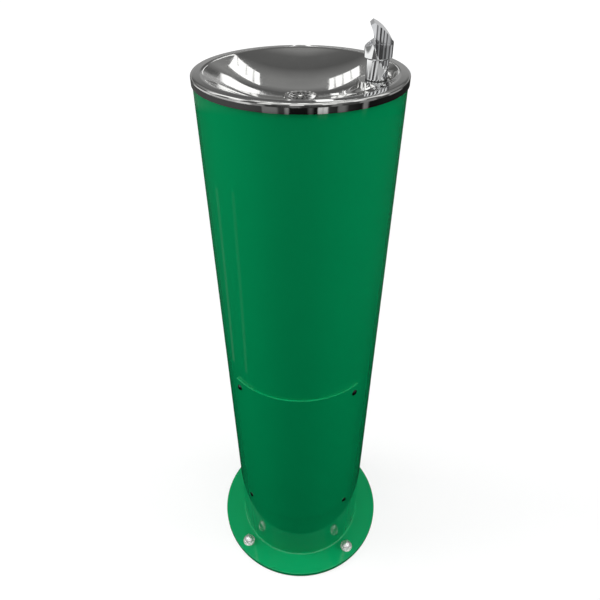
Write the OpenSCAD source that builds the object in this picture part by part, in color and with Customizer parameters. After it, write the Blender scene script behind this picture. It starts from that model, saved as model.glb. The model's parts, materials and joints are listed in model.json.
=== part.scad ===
// Pedestal drinking fountain: a painted tube on a round floor plate carries a pressed stainless
// bowl with a press-down bubbler. A stop valve and a bottle trap sit behind the access panel.
// Millimetres, Z up. The origin is the centre of the floor plate's underside, the panel faces -Y.

/* [Column] */
// outside radius of the column tube
column_r = 125; // [120:1:130]
// wall of the column tube
column_wall = 3; // [2.5:0.5:4]
// height of the bowl's rim above the floor
rim_height = 930; // [900:5:960]
// leg of the weld around the column's foot
foot_weld = 3; // [2:0.5:4]

/* [Floor plate] */
// how far the floor plate reaches out past the column
plate_margin = 43; // [41:0.5:48]
// thickness of the floor plate
plate_t = 10; // [8:1:14]
// chamfer on the floor plate's edges
plate_chamfer = 1.2; // [0.6:0.2:2]
// distance of the service opening's edge from the inside of the column
service_inset = 22; // [16:1:24]
// distance of the anchor holes from the plate's edge
anchor_inset = 20.5; // [19:0.5:22.5]
// radius of an anchor hole
anchor_hole_r = 7; // [6.5:0.1:7.5]
// number of floor anchors
anchor_count = 4; // [3:1:6]

/* [Access panel] */
// height of the panel's top edge
panel_top = 498; // [470:1:520]
// height of the panel's bottom edge
panel_bottom = 158; // [140:1:170]
// half of the angle that the panel wraps around the column
panel_half_angle = 49; // [46:0.5:53]
// thickness of the panel
panel_t = 3; // [2:0.5:4]
// distance of the screws from the panel's top and bottom edges
panel_screw_inset = 15; // [12:1:18]
// angle between a screw and the panel's side edge
panel_screw_side = 4.4; // [3.6:0.2:5]
// distance from a panel screw to the edge of the opening in the column
opening_margin = 14; // [12:1:18]

/* [Bowl] */
// thickness of the bowl's sheet
sheet = 1.2; // [1:0.1:1.5]
// width of the flat rim with its rounded edges
rim_width = 12.5; // [11.5:0.5:14]
// depth of the dish below the rim
dish_depth = 31; // [28:0.5:34]
// height of the skirt that hangs over the column
skirt_drop = 10.5; // [10:0.25:14]
// rounding of the rim's outer edge
rim_round = 2.5; // [2:0.25:3]
// rounding between the rim and the dish
lip_round = 8; // [5:0.5:10]
// thickness of the rubber seal under the rim
seal_t = 1.8; // [1.2:0.2:2.4]
// height of the screws in the skirt, measured down from the rim
skirt_screw_drop = 6.5; // [6.3:0.1:6.8]

/* [Bubbler] */
// distance of the bubbler's axis from the dish's edge
bubbler_inset = 26; // [25.5:0.5:28]
// depth of the bubbler's deck below the rim
deck_drop = 9.5; // [8.5:0.5:10.5]
// radius of the flat deck under the bubbler
deck_r = 21.5; // [20:0.5:22]
// radius of the flare between the deck and the dish
deck_flare = 18; // [17:0.5:20]
// radius of the bubbler's stem
stem_r = 13; // [12.5:0.25:13.5]
// radius of the stem's threaded shank
shank_r = 11; // [10.5:0.25:11.5]
// length of the shank below the deck
shank_l = 50; // [46:1:56]
// radius of the press head
head_r = 16; // [15.8:0.1:16.4]
// height of the head's lower edge above the rim
head_rise = 13; // [12.5:0.5:14]
// height of the head from its lower edge to the guard's seat
head_h = 17.5; // [17:0.25:18.5]
// slope of the nozzle face on the head
nozzle_slope = 28; // [25:1:30]
// distance the head can be pressed down
press_travel = 5; // [4:0.5:5]
// height of the mouth guard above its seat
guard_h = 20.3; // [19:0.1:21]
// radius of the guard's outer curve
guard_curve_r = 49; // [47:0.5:52]
// radius of the plunger's rod
rod_r = 4; // [3.75:0.25:4.25]
// coil radius of the return spring
coil_r = 6.8; // [6.6:0.1:7]
// wire radius of the return spring
wire_r = 0.7; // [0.5:0.05:0.8]
// number of turns in the return spring
coil_turns = 6.5; // [5:0.5:8]

/* [Waste] */
// radius of the strainer plate
strainer_r = 19; // [18.5:0.25:20]
// radius of the hole in the bowl
drain_hole_r = 15.5; // [15:0.25:16]
// outside radius of the waste pipes
waste_r = 16; // [15.5:0.25:16.5]
// wall of the waste pipes
waste_wall = 2.5; // [2:0.25:3]
// radius of the waste pipe's bend
waste_bend_r = 24; // [22:1:28]
// outside radius of the trap's cup
cup_r = 34; // [33:0.5:36]
// height of the trap's cup
cup_h = 82; // [76:2:90]

/* [Supply] */
// outside radius of the supply pipe
pipe_r = 7.5; // [7:0.25:8]
// wall of the supply pipe
pipe_wall = 1; // [0.8:0.1:1.2]
// distance of the supply pipe to the right of the column's axis
pipe_x = 45; // [42:1:49]
// distance of the supply and waste drops from the inside of the column
drop_inset = 49; // [48:0.5:50]
// height of the stop valve's centre
valve_z = 330; // [310:5:350]
// radius of the valve's ball
ball_r = 10; // [9.5:0.25:10.5]
// length of the valve's lever from its spindle
lever_l = 68; // [60:2:76]
// outside radius of the supply tube
tube_r = 6.5; // [6:0.25:7]
// radius of the supply tube's bends
tube_bend_r = 60; // [55:1:70]
// slope of the supply tube between its bends
tube_slope = 45; // [40:1:50]
// height of the supply tube's lower bend
tube_bend_z = 470; // [450:5:490]
// height of the pipe bracket
bracket_z = 230; // [215:5:245]

/* [Fits] */
// gap between the skirt or the panel and the column
cover_gap = 0.3; // [0.2:0.05:0.4]
// radial gap of a shaft that turns or slides in its bore
running_gap = 0.05; // [0.02:0.01:0.08]
// gap around parts that move past each other without guiding
free_gap = 0.3; // [0.25:0.05:0.4]
// radial gap in threads and pushed joints that stay together
seat_gap = 0.05; // [0.02:0.01:0.1]
// radial gap of a screw in a plain hole
screw_gap = 0.4; // [0.3:0.05:0.6]

/* [Hidden] */
$fn = 96;
eps = 0.5;
green = [0, 0.46, 0.29];
steel = [0.78, 0.79, 0.8];
black = [0.06, 0.06, 0.06];
brass = [0.72, 0.57, 0.3];
copper = [0.72, 0.42, 0.28];
white_plastic = [0.9, 0.9, 0.88];
red = [0.7, 0.1, 0.08];

column_in = column_r - column_wall;
column_top = rim_height - sheet - seal_t;
plate_r = column_r + plate_margin;
service_r = column_in - service_inset;
anchor_r = plate_r - anchor_inset;
washer_r = 12;
washer_bore_r = anchor_hole_r - 0.5;
washer_t = 2.5;
dome_flats = 19;
dome_hex_h = 7;
dome_step = 0.3;
dome_r = dome_flats / 2 - dome_step;
dome_h = 12.5;
dome_ball_r = 11;
dome_bore_r = 5.2;
dome_bore_h = 9;

panel_in = column_r + cover_gap;
panel_out = panel_in + panel_t;
screw_angle = panel_half_angle - panel_screw_side;
panel_screw_z = [panel_bottom + panel_screw_inset, panel_top - panel_screw_inset];
opening_half_w = column_r * sin(screw_angle) - opening_margin;
opening_bottom = panel_screw_z[0] + opening_margin;
opening_top = panel_screw_z[1] - opening_margin;
panel_screw_r = 2.5;
panel_head_r = 5;
panel_head_h = 2.8;
panel_head_edge = 1;
panel_head_ball = 7.5;
panel_key = 3;
key_depth = 1.6;
screw_reach = 6;
insert_r = 3.8;
insert_grip = 9;
insert_bulge_r = 5.6;

skirt_in = column_r + cover_gap;
skirt_out = skirt_in + sheet;
dish_r = skirt_out - rim_width;
dish_ball_r = (dish_r * dish_r + dish_depth * dish_depth) / (2 * dish_depth);
dish_ball_z = rim_height - dish_depth + dish_ball_r;
lip_z = rim_height - lip_round;
lip_sum = dish_ball_r + lip_round;
lip_r = sqrt(lip_sum * lip_sum - (dish_ball_z - lip_z) * (dish_ball_z - lip_z));
bowl_core_z = rim_height - 2 * dish_depth;
skirt_screw_z = rim_height - skirt_screw_drop;
skirt_screw_angles = [110, 180, 250];
skirt_screw_r = 1.5;
skirt_head_r = 2.9;
skirt_head_h = 1.7;
skirt_head_ball = 4.6;
skirt_key = 2;
skirt_key_depth = 1;
skirt_insert_r = 2.3;
skirt_insert_grip = 6;
skirt_bulge_r = 3;

bubbler_x = dish_r - bubbler_inset;
deck_z = rim_height - deck_drop;
pocket_lean = 0.6;
mound_reach = 10;
mound_r = deck_r + mound_reach;
mound_h = 26;
deck_hole_r = shank_r + screw_gap;
gasket_t = 0.6;
gasket_inset = 0.5;
stem_z = deck_z + gasket_t;
head_z = rim_height + head_rise;
head_top_z = head_z + head_h;
head_solid = 8.5;
head_ceiling = head_top_z - head_solid;
head_bore_r = stem_r + free_gap;
head_chamfer = 1;
press_stop_gap = 0.5;
stem_top = head_ceiling - press_travel - press_stop_gap;
spring_room = 26;
spring_floor = head_ceiling - spring_room;
spring_bore_r = 9;
web_h = 8;
web_z = spring_floor - web_h;
chamber_r = 7.5;
chamber_l = 28;
shank_end = deck_z - shank_l;
tail_bore_r = 4.5;
seal_ring_r = 1;
seal_path_r = rod_r + seal_ring_r + seat_gap;
disc_r = seal_path_r + seal_ring_r;
coil_rings = 16;
wire_sides = 6;
coil_steps = coil_rings * coil_turns;
coil_low = spring_floor + wire_r + seat_gap;
coil_rise = head_ceiling - wire_r - seat_gap - coil_low;
coil_climb = atan2(coil_rise / coil_turns, 2 * PI * coil_r);
disc_h = 3;
disc_z = web_z - 2 * seal_ring_r - seat_gap;
spigot_r = 3;
spigot_h = 6;
port_r = 1.3;
port_z = head_ceiling + spigot_h / 2;
rod_bore_r = 1.8;
rod_port_z = web_z + web_h / 2;
grub_r = 2;
grub_rise = 3.5;
grub_z = head_ceiling + grub_rise;
grub_l = 8;
grub_key = 2;
grub_key_depth = 2;
dowel_r = 1.5;
dowel_l = 4;
dowel_x = 7;
dowel_y = 7;
slope_x = -5.4;
nozzle_x = -10;
port_short = 1.5;
nozzle_r = 2.4;
nozzle_sunk = 3;
nozzle_proud = 1.6;
nozzle_bore_r = 1.1;
guard_swell = 23.5;
guard_sink = 2;
guard_front_r = 60;
guard_front_drop = 12.5;
guard_setback = 0.4;
guard_tip_x = -8.3;
guard_tip_cut = 0.6;
guard_tip_slope = 38;
washer_under_t = 1.6;
locknut_flats = 30;
locknut_h = 9;
washer_under_w = 5;
deck_under = deck_z - sheet;

seat_sink = 1;
seat_z = rim_height - dish_depth - seat_sink;
seat_margin = 1.6;
seat_r = strainer_r + seat_margin;
strainer_gasket_t = 0.8;
strainer_t = 1.8;
strainer_bevel = 0.8;
strainer_hole_r = 1.7;
strainer_ring_r = [7, 11.8];
strainer_ring_n = [6, 12];
strainer_z = seat_z + strainer_gasket_t;
waste_gasket_t = 3;
waste_top = seat_z - sheet - waste_gasket_t;
waste_flange_r = 24;
waste_flange_h = 3;
waste_cup_h = 22;
waste_cup_step = 4;
waste_cup_wall = 2.5;
waste_gasket_edge = 1;
waste_in = waste_r - waste_wall;
strainer_screw_r = 2.5;
strainer_head_r = 4.6;
strainer_head_h = 2.4;
strainer_head_ball = 7;
strainer_key = 2.5;
strainer_key_depth = 1.4;
web_drop = 8;
web_t = 5;
web_hub_r = 6;
web_arm_w = 3;
tail_l = 26;
tail_end = waste_top - waste_cup_h - tail_l;
tail_gap = 2;
trap_tube_top = tail_end - tail_gap;
trap_tube_l = 38;
cup_step = 4;
trap_head_r = cup_r - cup_step;
trap_head_top = trap_tube_top - trap_tube_l;
trap_wall = 2.5;
trap_out_drop = 22;
trap_out_z = trap_head_top - trap_out_drop;
waste_nut_r = waste_r + 7;
grip_rib = 1.5;
grip_rib_w = 3;
grip_end = 1;
grip_count = 12;
inlet_nut_l = 32;
inlet_nut_wrap = 14;
cup_wrap = 16;
cup_nut_gap = 2;
trap_head_h = trap_out_drop + waste_nut_r + grip_rib + cup_nut_gap + cup_wrap;
trap_spigot_y = sqrt(trap_head_r * trap_head_r - waste_r * waste_r) - trap_wall;
trap_spigot_l = 10;
trap_spigot_end = trap_head_r + trap_spigot_l;
cup_top = trap_head_top - trap_head_h + cup_wrap;
cup_z = cup_top - cup_h;
cup_grip_h = 20;
dip_rise = 25;
dip_z = cup_z + dip_rise;
pipe_start = trap_spigot_end;
waste_stop_z = 42;
waste_stop_w = 3;
waste_stop_h = 4;
waste_end_z = 3;
bend_z = trap_out_z - waste_bend_r;
drop_y = column_in - drop_inset;
bend_y = drop_y - waste_bend_r;
outlet_nut_gap = 2;
outlet_nut_y = trap_head_r + outlet_nut_gap;
outlet_nut_l = bend_y - outlet_nut_gap / 2 - outlet_nut_y;

union_r = 10.4;
union_l = 18;
union_z = 5;
union_flats = 26;
union_hex_h = 9;
valve_wall = 6;
valve_r = ball_r + valve_wall;
valve_cap = 10;
valve_half = ball_r + valve_cap;
valve_spigot_r = 10;
valve_spigot_l = 18;
valve_bore_r = 6;
nut_flats = 26;
nut_wrap = 13;
nut_tail = 9;
valve_low = valve_z - valve_half - valve_spigot_l;
valve_high = valve_z + valve_half + valve_spigot_l;
pipe_push = 8;
pipe_top = valve_low + pipe_push;
bonnet_r = 8;
bonnet_l = 11;
spindle_r = 4;
bonnet_y = drop_y - valve_r - bonnet_l;
lever_t = 3;
lever_gap = 1.5;
lever_w = 16;
lever_nut_flats = 10;
lever_nut_h = 4.5;
spindle_thread_r = 3;
spindle_past = 1.5;
lever_arm_w = 12;
lever_hole_r = 2.5;
tang_w = 3;
tang_h = 6;
slot_depth = 2;
ferrule_r = 9;
ferrule_t = 3;
nut_slack = 2;
tube_wall = 2;
tube_bore_r = tube_r - tube_wall;
tube_low = valve_high;
tube_high = shank_end;
tube_nut_flats = 28;
tube_across = sqrt(pow(bubbler_x - pipe_x, 2) + pow(drop_y, 2));
tube_turn = atan2(-drop_y, bubbler_x - pipe_x);
tube_mid = (tube_across - 2 * tube_bend_r * (1 - cos(tube_slope))) / sin(tube_slope);
tube_knee_z = tube_bend_z + 2 * tube_bend_r * sin(tube_slope) + tube_mid * cos(tube_slope);
tube_last = tube_high - tube_knee_z;
bar_h = 30;
bar_t = 4;
clip_t = 3;
clip_w = 16;
clip_screw_r = 2.5;
clip_post_w = 12;
clip_screw_l = 5;
clip_hole_l = 6;
clip_head_flats = 8;
clip_head_h = 3;
bar_inset = 22;
bar_end_gap = 0.2;
bar_y = column_in - bar_inset;
bar_half = sqrt(pow(column_in - bar_end_gap, 2) - pow(bar_y + bar_t, 2));

// a point on the return spring's wire: the ring's number along the coil and the angle around the wire
function wire_point(i, b, r = wire_r) =
    let (a = 360 * i / coil_rings, reach = coil_r + r * cos(b), slip = r * sin(b) * sin(coil_climb))
    [reach * cos(a) + slip * sin(a), reach * sin(a) - slip * cos(a),
     coil_low + coil_rise * i / coil_steps + r * sin(b) * cos(coil_climb)];

// the least gap between neighbouring turns of the return spring, measured on its centre line
coil_gap = min([for (i = [0:coil_steps - coil_rings], n = [-2:2])
    norm(wire_point(i, 0, 0) - wire_point(min(i + coil_rings + n, coil_steps), 0, 0))]) - 2 * wire_r;
echo(str("return spring gap between turns, mm: ", coil_gap));

// a ring standing on z = 0
module ring(r_out, r_in, h) {
    difference() {
        cylinder(r = r_out, h = h);
        translate([0, 0, -eps]) cylinder(r = r_in, h = h + 2 * eps);
    }
}

// a plain hexagon block, measured across its flats
module hex_block(flats, h) {
    cylinder(r = flats / sqrt(3), h = h, $fn = 6);
}

// puts a radial feature at an angle from the front, its Z axis pointing out of the column
module radial(angle, r, z) {
    rotate([0, 0, angle])
        translate([0, -r, z])
            rotate([90, 0, 0]) children();
}

module at_bubbler() {
    translate([bubbler_x, 0, 0]) children();
}

module at_valve() {
    translate([pipe_x, drop_y, 0]) children();
}

// the four corners of the access panel that carry screws
module panel_corners(r) {
    for (z = panel_screw_z)
        for (side = [-1, 1])
            radial(side * screw_angle, r, z) children();
}

module anchors() {
    for (i = [0:anchor_count - 1])
        rotate([0, 0, (i + 0.5) * 360 / anchor_count])
            translate([0, -anchor_r, 0]) children();
}

module base_plate() {
    color(green)
        difference() {
            union() {
                cylinder(r1 = plate_r - plate_chamfer, r2 = plate_r, h = plate_chamfer);
                translate([0, 0, plate_chamfer])
                    cylinder(r = plate_r, h = plate_t - 2 * plate_chamfer);
                translate([0, 0, plate_t - plate_chamfer])
                    cylinder(r1 = plate_r, r2 = plate_r - plate_chamfer, h = plate_chamfer);
            }
            translate([0, 0, -eps]) cylinder(r = service_r, h = plate_t + 2 * eps);
            anchors() translate([0, 0, -eps]) cylinder(r = anchor_hole_r, h = plate_t + 2 * eps);
        }
}

module pedestal_column() {
    color(green)
        difference() {
            union() {
                translate([0, 0, plate_t]) cylinder(r = column_r, h = column_top - plate_t);
                translate([0, 0, plate_t])
                    cylinder(r1 = column_r + foot_weld, r2 = column_r, h = foot_weld);
            }
            translate([0, 0, plate_t - eps]) cylinder(r = column_in, h = column_top);
            translate([-opening_half_w, -column_r - eps, opening_bottom])
                cube([2 * opening_half_w, column_r, opening_top - opening_bottom]);
            panel_corners(column_in - 2 * column_wall)
                cylinder(r = insert_r + seat_gap, h = 4 * column_wall);
            for (a = skirt_screw_angles)
                radial(a, column_in - 2 * column_wall, skirt_screw_z)
                    cylinder(r = skirt_insert_r + seat_gap, h = 4 * column_wall);
        }
}

module access_panel() {
    color(green)
        difference() {
            rotate([0, 0, -90 - panel_half_angle])
                rotate_extrude(angle = 2 * panel_half_angle)
                    translate([panel_in, panel_bottom])
                        square([panel_t, panel_top - panel_bottom]);
            panel_corners(column_in)
                cylinder(r = panel_screw_r + screw_gap, h = 3 * column_wall + panel_t);
        }
}

module panel_screws() {
    color(black)
        panel_corners(panel_out + seat_gap) {
            translate([0, 0, -panel_t - column_wall - screw_reach])
                cylinder(r = panel_screw_r, h = panel_t + column_wall + screw_reach);
            difference() {
                union() {
                    cylinder(r = panel_head_r, h = panel_head_edge);
                    intersection() {
                        translate([0, 0, panel_head_edge]) cylinder(r = panel_head_r, h = panel_head_h);
                        translate([0, 0, panel_head_h - panel_head_ball]) sphere(r = panel_head_ball);
                    }
                }
                translate([0, 0, panel_head_h - key_depth]) hex_block(panel_key, panel_head_h);
            }
        }
}

module panel_rivet_nuts() {
    color(steel)
        panel_corners(column_r - insert_grip)
            difference() {
                union() {
                    cylinder(r = insert_r, h = insert_grip - eps);
                    cylinder(r = insert_bulge_r, h = insert_grip - column_wall - eps);
                }
                translate([0, 0, -eps])
                    cylinder(r = panel_screw_r + seat_gap, h = insert_grip + eps);
            }
}

module anchor_washers() {
    color(steel)
        anchors()
            translate([0, 0, plate_t]) ring(washer_r, washer_bore_r, washer_t);
}

module anchor_dome_nuts() {
    color(steel)
        anchors()
            translate([0, 0, plate_t + washer_t])
                difference() {
                    union() {
                        hex_block(dome_flats, dome_hex_h);
                        intersection() {
                            translate([0, 0, dome_h - dome_ball_r]) sphere(r = dome_ball_r);
                            cylinder(r = dome_r, h = dome_h + eps);
                        }
                    }
                    translate([0, 0, -eps]) cylinder(r = dome_bore_r, h = dome_bore_h + eps);
                }
}

module rim_seal() {
    color(black)
        translate([0, 0, column_top]) ring(skirt_out - rim_round, column_in, seal_t);
}

// one side of the pressed sheet as a half section: grow is 0 above the sheet, its thickness below
module bowl_section(grow, skirt_bottom) {
    top = rim_height - grow;
    curl = rim_round - grow;
    curl_r = skirt_out - rim_round;
    curl_z = rim_height - rim_round;
    lean = (dish_ball_r + grow) / lip_sum;
    touch = [lip_r * lean, dish_ball_z - (dish_ball_z - lip_z) * lean];
    difference() {
        union() {
            translate([0, bowl_core_z - grow]) square([curl_r, top - bowl_core_z + grow]);
            translate([curl_r - eps, skirt_bottom])
                square([curl + eps, curl_z - skirt_bottom]);
            translate([curl_r, curl_z]) circle(r = curl);
        }
        translate([0, dish_ball_z]) circle(r = dish_ball_r + grow, $fn = 360);
        difference() {
            polygon([touch, [lip_r, top], [lip_r, top + eps], [touch[0], top + eps]]);
            translate([lip_r, lip_z]) circle(r = lip_round - grow);
        }
    }
}

// the raised side of the bubbler's deck, flared into the dish
module deck_mound(grow) {
    at_bubbler()
        rotate_extrude()
            difference() {
                translate([0, deck_z - mound_h]) square([mound_r, mound_h - grow]);
                translate([deck_r + deck_flare, deck_z]) circle(r = deck_flare + grow);
            }
}

// the sunk side of the bubbler's deck, next to the rim
module deck_pocket(grow) {
    at_bubbler()
        translate([0, 0, deck_z - grow])
            cylinder(r1 = deck_r + grow, r2 = deck_r + grow + pocket_lean, h = deck_drop + grow + eps);
}

module bowl() {
    color(steel)
        difference() {
            union() {
                difference() {
                    rotate_extrude() bowl_section(0, rim_height - skirt_drop);
                    deck_pocket(0);
                    translate([0, 0, seat_z]) cylinder(r = seat_r, h = dish_depth);
                }
                deck_mound(0);
            }
            difference() {
                union() {
                    rotate_extrude() bowl_section(sheet, bowl_core_z - sheet);
                    deck_mound(sheet);
                }
                deck_pocket(sheet);
                translate([0, 0, seat_z - sheet]) cylinder(r = seat_r + sheet, h = dish_depth);
            }
            at_bubbler() translate([0, 0, bowl_core_z]) cylinder(r = deck_hole_r, h = 2 * dish_depth);
            translate([0, 0, bowl_core_z]) cylinder(r = drain_hole_r, h = 2 * dish_depth);
            for (a = skirt_screw_angles)
                radial(a, column_in, skirt_screw_z)
                    cylinder(r = skirt_screw_r + screw_gap, h = 4 * column_wall);
        }
}

module bowl_screws() {
    color(steel)
        for (a = skirt_screw_angles)
            radial(a, skirt_out + seat_gap, skirt_screw_z) {
                translate([0, 0, -column_wall - screw_reach])
                    cylinder(r = skirt_screw_r, h = column_wall + screw_reach);
                difference() {
                    intersection() {
                        cylinder(r = skirt_head_r, h = skirt_head_h);
                        translate([0, 0, skirt_head_h - skirt_head_ball]) sphere(r = skirt_head_ball);
                    }
                    translate([0, 0, skirt_head_h - skirt_key_depth]) hex_block(skirt_key, skirt_head_h);
                }
            }
}

module bowl_rivet_nuts() {
    color(steel)
        for (a = skirt_screw_angles)
            radial(a, column_r - skirt_insert_grip, skirt_screw_z)
                difference() {
                    union() {
                        cylinder(r = skirt_insert_r, h = skirt_insert_grip - eps);
                        cylinder(r = skirt_bulge_r, h = skirt_insert_grip - column_wall - eps);
                    }
                    translate([0, 0, -eps])
                        cylinder(r = skirt_screw_r + seat_gap, h = skirt_insert_grip + eps);
                }
}

module strainer_gasket() {
    color(black)
        translate([0, 0, seat_z]) ring(strainer_r, drain_hole_r, strainer_gasket_t);
}

module waste_strainer() {
    color(steel)
        translate([0, 0, strainer_z])
            difference() {
                union() {
                    cylinder(r = strainer_r, h = strainer_t - strainer_bevel);
                    translate([0, 0, strainer_t - strainer_bevel])
                        cylinder(r1 = strainer_r, r2 = strainer_r - strainer_bevel, h = strainer_bevel);
                }
                translate([0, 0, -eps])
                    cylinder(r = strainer_screw_r + screw_gap, h = strainer_t + 2 * eps);
                for (row = [0, 1], i = [0:strainer_ring_n[row] - 1])
                    rotate([0, 0, 360 * (i + row / 2) / strainer_ring_n[row]])
                        translate([strainer_ring_r[row], 0, -eps])
                            cylinder(r = strainer_hole_r, h = strainer_t + 2 * eps, $fn = 32);
            }
}

module strainer_screw() {
    shank_z = waste_top - web_drop - web_t;
    color(steel) {
        translate([0, 0, shank_z])
            cylinder(r = strainer_screw_r, h = strainer_z + strainer_t - shank_z + eps);
        translate([0, 0, strainer_z + strainer_t + seat_gap])
            difference() {
                intersection() {
                    cylinder(r = strainer_head_r, h = strainer_head_h);
                    translate([0, 0, strainer_head_h - strainer_head_ball]) sphere(r = strainer_head_ball);
                }
                translate([0, 0, strainer_head_h - strainer_key_depth])
                    hex_block(strainer_key, strainer_head_h);
            }
    }
}

module waste_gasket() {
    color(black)
        translate([0, 0, waste_top])
            ring(waste_flange_r - waste_gasket_edge, drain_hole_r + waste_gasket_edge, waste_gasket_t);
}

module waste_body() {
    cup_out = waste_flange_r - waste_cup_step;
    color(white_plastic)
        difference() {
            union() {
                translate([0, 0, waste_top - waste_flange_h])
                    cylinder(r = waste_flange_r, h = waste_flange_h);
                translate([0, 0, waste_top - waste_cup_h])
                    cylinder(r = cup_out, h = waste_cup_h);
                translate([0, 0, tail_end])
                    cylinder(r = waste_r, h = waste_top - tail_end - waste_cup_h + eps);
            }
            difference() {
                translate([0, 0, waste_top - waste_cup_h + waste_cup_wall])
                    cylinder(r = cup_out - waste_cup_wall, h = waste_cup_h);
                translate([0, 0, waste_top - web_drop - web_t]) {
                    cylinder(r = web_hub_r, h = web_t);
                    for (a = [0, 120, 240])
                        rotate([0, 0, a])
                            translate([0, -web_arm_w / 2, 0]) cube([cup_out - eps, web_arm_w, web_t]);
                }
            }
            translate([0, 0, tail_end - eps])
                cylinder(r = waste_in, h = waste_top - waste_cup_h - tail_end + waste_cup_wall + 2 * eps);
            translate([0, 0, waste_top - web_drop - web_t - eps])
                cylinder(r = strainer_screw_r + seat_gap, h = web_t + 2 * eps);
        }
}

// the upright ribs that give a hand grip on a round plastic nut or cup
module grip_ribs(r, h) {
    for (i = [0:grip_count - 1])
        rotate([0, 0, 360 * i / grip_count])
            translate([r - grip_rib, -grip_rib_w / 2, grip_end])
                cube([2 * grip_rib, grip_rib_w, h - 2 * grip_end]);
}

// a plastic union nut with grip ribs, its two ends bored for two pipes of one size
module waste_nut(h) {
    difference() {
        union() {
            cylinder(r = waste_nut_r, h = h);
            grip_ribs(waste_nut_r, h);
        }
        translate([0, 0, -eps]) cylinder(r = waste_r + seat_gap, h = h + 2 * eps);
    }
}

module trap_inlet_nut() {
    color(white_plastic)
        translate([0, 0, trap_tube_top - inlet_nut_wrap]) waste_nut(inlet_nut_l);
}

module trap_body() {
    color(white_plastic)
        difference() {
            union() {
                translate([0, 0, trap_head_top - trap_head_h])
                    ring(trap_head_r, trap_head_r - trap_wall, trap_head_h);
                translate([0, 0, trap_head_top - trap_wall]) cylinder(r = trap_head_r, h = trap_wall);
                translate([0, 0, dip_z]) cylinder(r = waste_r, h = trap_tube_top - dip_z);
                translate([0, trap_spigot_y, trap_out_z])
                    rotate([-90, 0, 0]) cylinder(r = waste_r, h = trap_spigot_end - trap_spigot_y);
            }
            translate([0, 0, dip_z - eps]) cylinder(r = waste_in, h = trap_tube_top - dip_z + 2 * eps);
            translate([0, waste_r + eps, trap_out_z])
                rotate([-90, 0, 0]) cylinder(r = waste_in, h = trap_spigot_end);
        }
}

module trap_cup() {
    color(white_plastic)
        translate([0, 0, cup_z])
            difference() {
                union() {
                    cylinder(r = cup_r, h = cup_h);
                    translate([0, 0, cup_h - cup_grip_h]) grip_ribs(cup_r, cup_grip_h);
                }
                translate([0, 0, trap_wall]) cylinder(r = trap_head_r - trap_wall, h = cup_h);
                translate([0, 0, cup_h - cup_wrap])
                    cylinder(r = trap_head_r + seat_gap, h = cup_wrap + eps);
            }
}

module trap_outlet_nut() {
    color(white_plastic)
        translate([0, outlet_nut_y, trap_out_z]) rotate([-90, 0, 0]) waste_nut(outlet_nut_l);
}

module waste_run(r) {
    translate([0, pipe_start, trap_out_z])
        rotate([-90, 0, 0]) cylinder(r = r, h = bend_y - pipe_start);
    translate([0, bend_y, bend_z])
        rotate([0, -90, 0])
            rotate_extrude(angle = 90) translate([waste_bend_r, 0]) circle(r = r);
    translate([0, drop_y, waste_end_z]) cylinder(r = r, h = bend_z - waste_end_z);
}

module waste_pipe() {
    color(white_plastic)
        difference() {
            union() {
                waste_run(waste_r);
                translate([0, drop_y, waste_stop_z]) cylinder(r = waste_r + waste_stop_w, h = waste_stop_h);
            }
            waste_run(waste_in);
            translate([0, drop_y, waste_end_z - eps]) cylinder(r = waste_in, h = 2 * eps);
            translate([0, pipe_start - eps, trap_out_z])
                rotate([-90, 0, 0]) cylinder(r = waste_in, h = 2 * eps);
        }
}

module bracket_bar() {
    color(steel)
        difference() {
            translate([-bar_half, bar_y, bracket_z]) cube([2 * bar_half, bar_t, bar_h]);
            for (x = [0, pipe_x])
                translate([x, bar_y - eps, bracket_z + bar_h / 2])
                    rotate([-90, 0, 0]) cylinder(r = clip_screw_r + screw_gap, h = bar_t + 2 * eps);
        }
}

// a closed pipe ring on a stand-off that meets the bracket bar
module pipe_clip(x, y, r) {
    z = bracket_z + (bar_h - clip_w) / 2;
    difference() {
        union() {
            translate([x, y, z]) cylinder(r = r + clip_t, h = clip_w);
            translate([x - clip_post_w / 2, y, z]) cube([clip_post_w, bar_y - y, clip_w]);
        }
        translate([x, y, z - eps]) cylinder(r = r + seat_gap, h = clip_w + 2 * eps);
        translate([x, bar_y - clip_hole_l, bracket_z + bar_h / 2])
            rotate([-90, 0, 0]) cylinder(r = clip_screw_r + seat_gap, h = clip_hole_l + eps);
    }
}

module waste_pipe_clip() {
    color(black) pipe_clip(0, drop_y, waste_r);
}

module supply_pipe_clip() {
    color(black) pipe_clip(pipe_x, drop_y, pipe_r);
}

module clip_screws() {
    color(steel)
        for (x = [0, pipe_x])
            translate([x, bar_y - clip_screw_l, bracket_z + bar_h / 2])
                rotate([-90, 0, 0]) {
                    cylinder(r = clip_screw_r, h = clip_screw_l + bar_t + eps);
                    translate([0, 0, clip_screw_l + bar_t + seat_gap])
                        hex_block(clip_head_flats, clip_head_h);
                }
}

module supply_pipe() {
    color(copper)
        at_valve()
            difference() {
                union() {
                    translate([0, 0, union_z]) cylinder(r = union_r, h = union_l);
                    translate([0, 0, union_z + union_l]) hex_block(union_flats, union_hex_h);
                    translate([0, 0, union_z + union_l])
                        cylinder(r = pipe_r, h = pipe_top - union_z - union_l);
                }
                translate([0, 0, union_z - eps])
                    cylinder(r = pipe_r - pipe_wall, h = pipe_top - union_z + 2 * eps);
            }
}

// a hexagon union nut: the wide bore takes a thread below, the narrow bore a pipe above
module union_nut(flats, thread_r, wrap, neck_r, neck) {
    difference() {
        hex_block(flats, wrap + neck);
        translate([0, 0, -eps]) cylinder(r = thread_r + seat_gap, h = wrap + eps);
        translate([0, 0, -eps]) cylinder(r = neck_r + seat_gap, h = wrap + neck + 2 * eps);
    }
}

module valve_lower_nut() {
    color(brass)
        at_valve()
            translate([0, 0, valve_low + nut_wrap])
                mirror([0, 0, 1]) union_nut(nut_flats, valve_spigot_r, nut_wrap, pipe_r, nut_tail);
}

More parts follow.
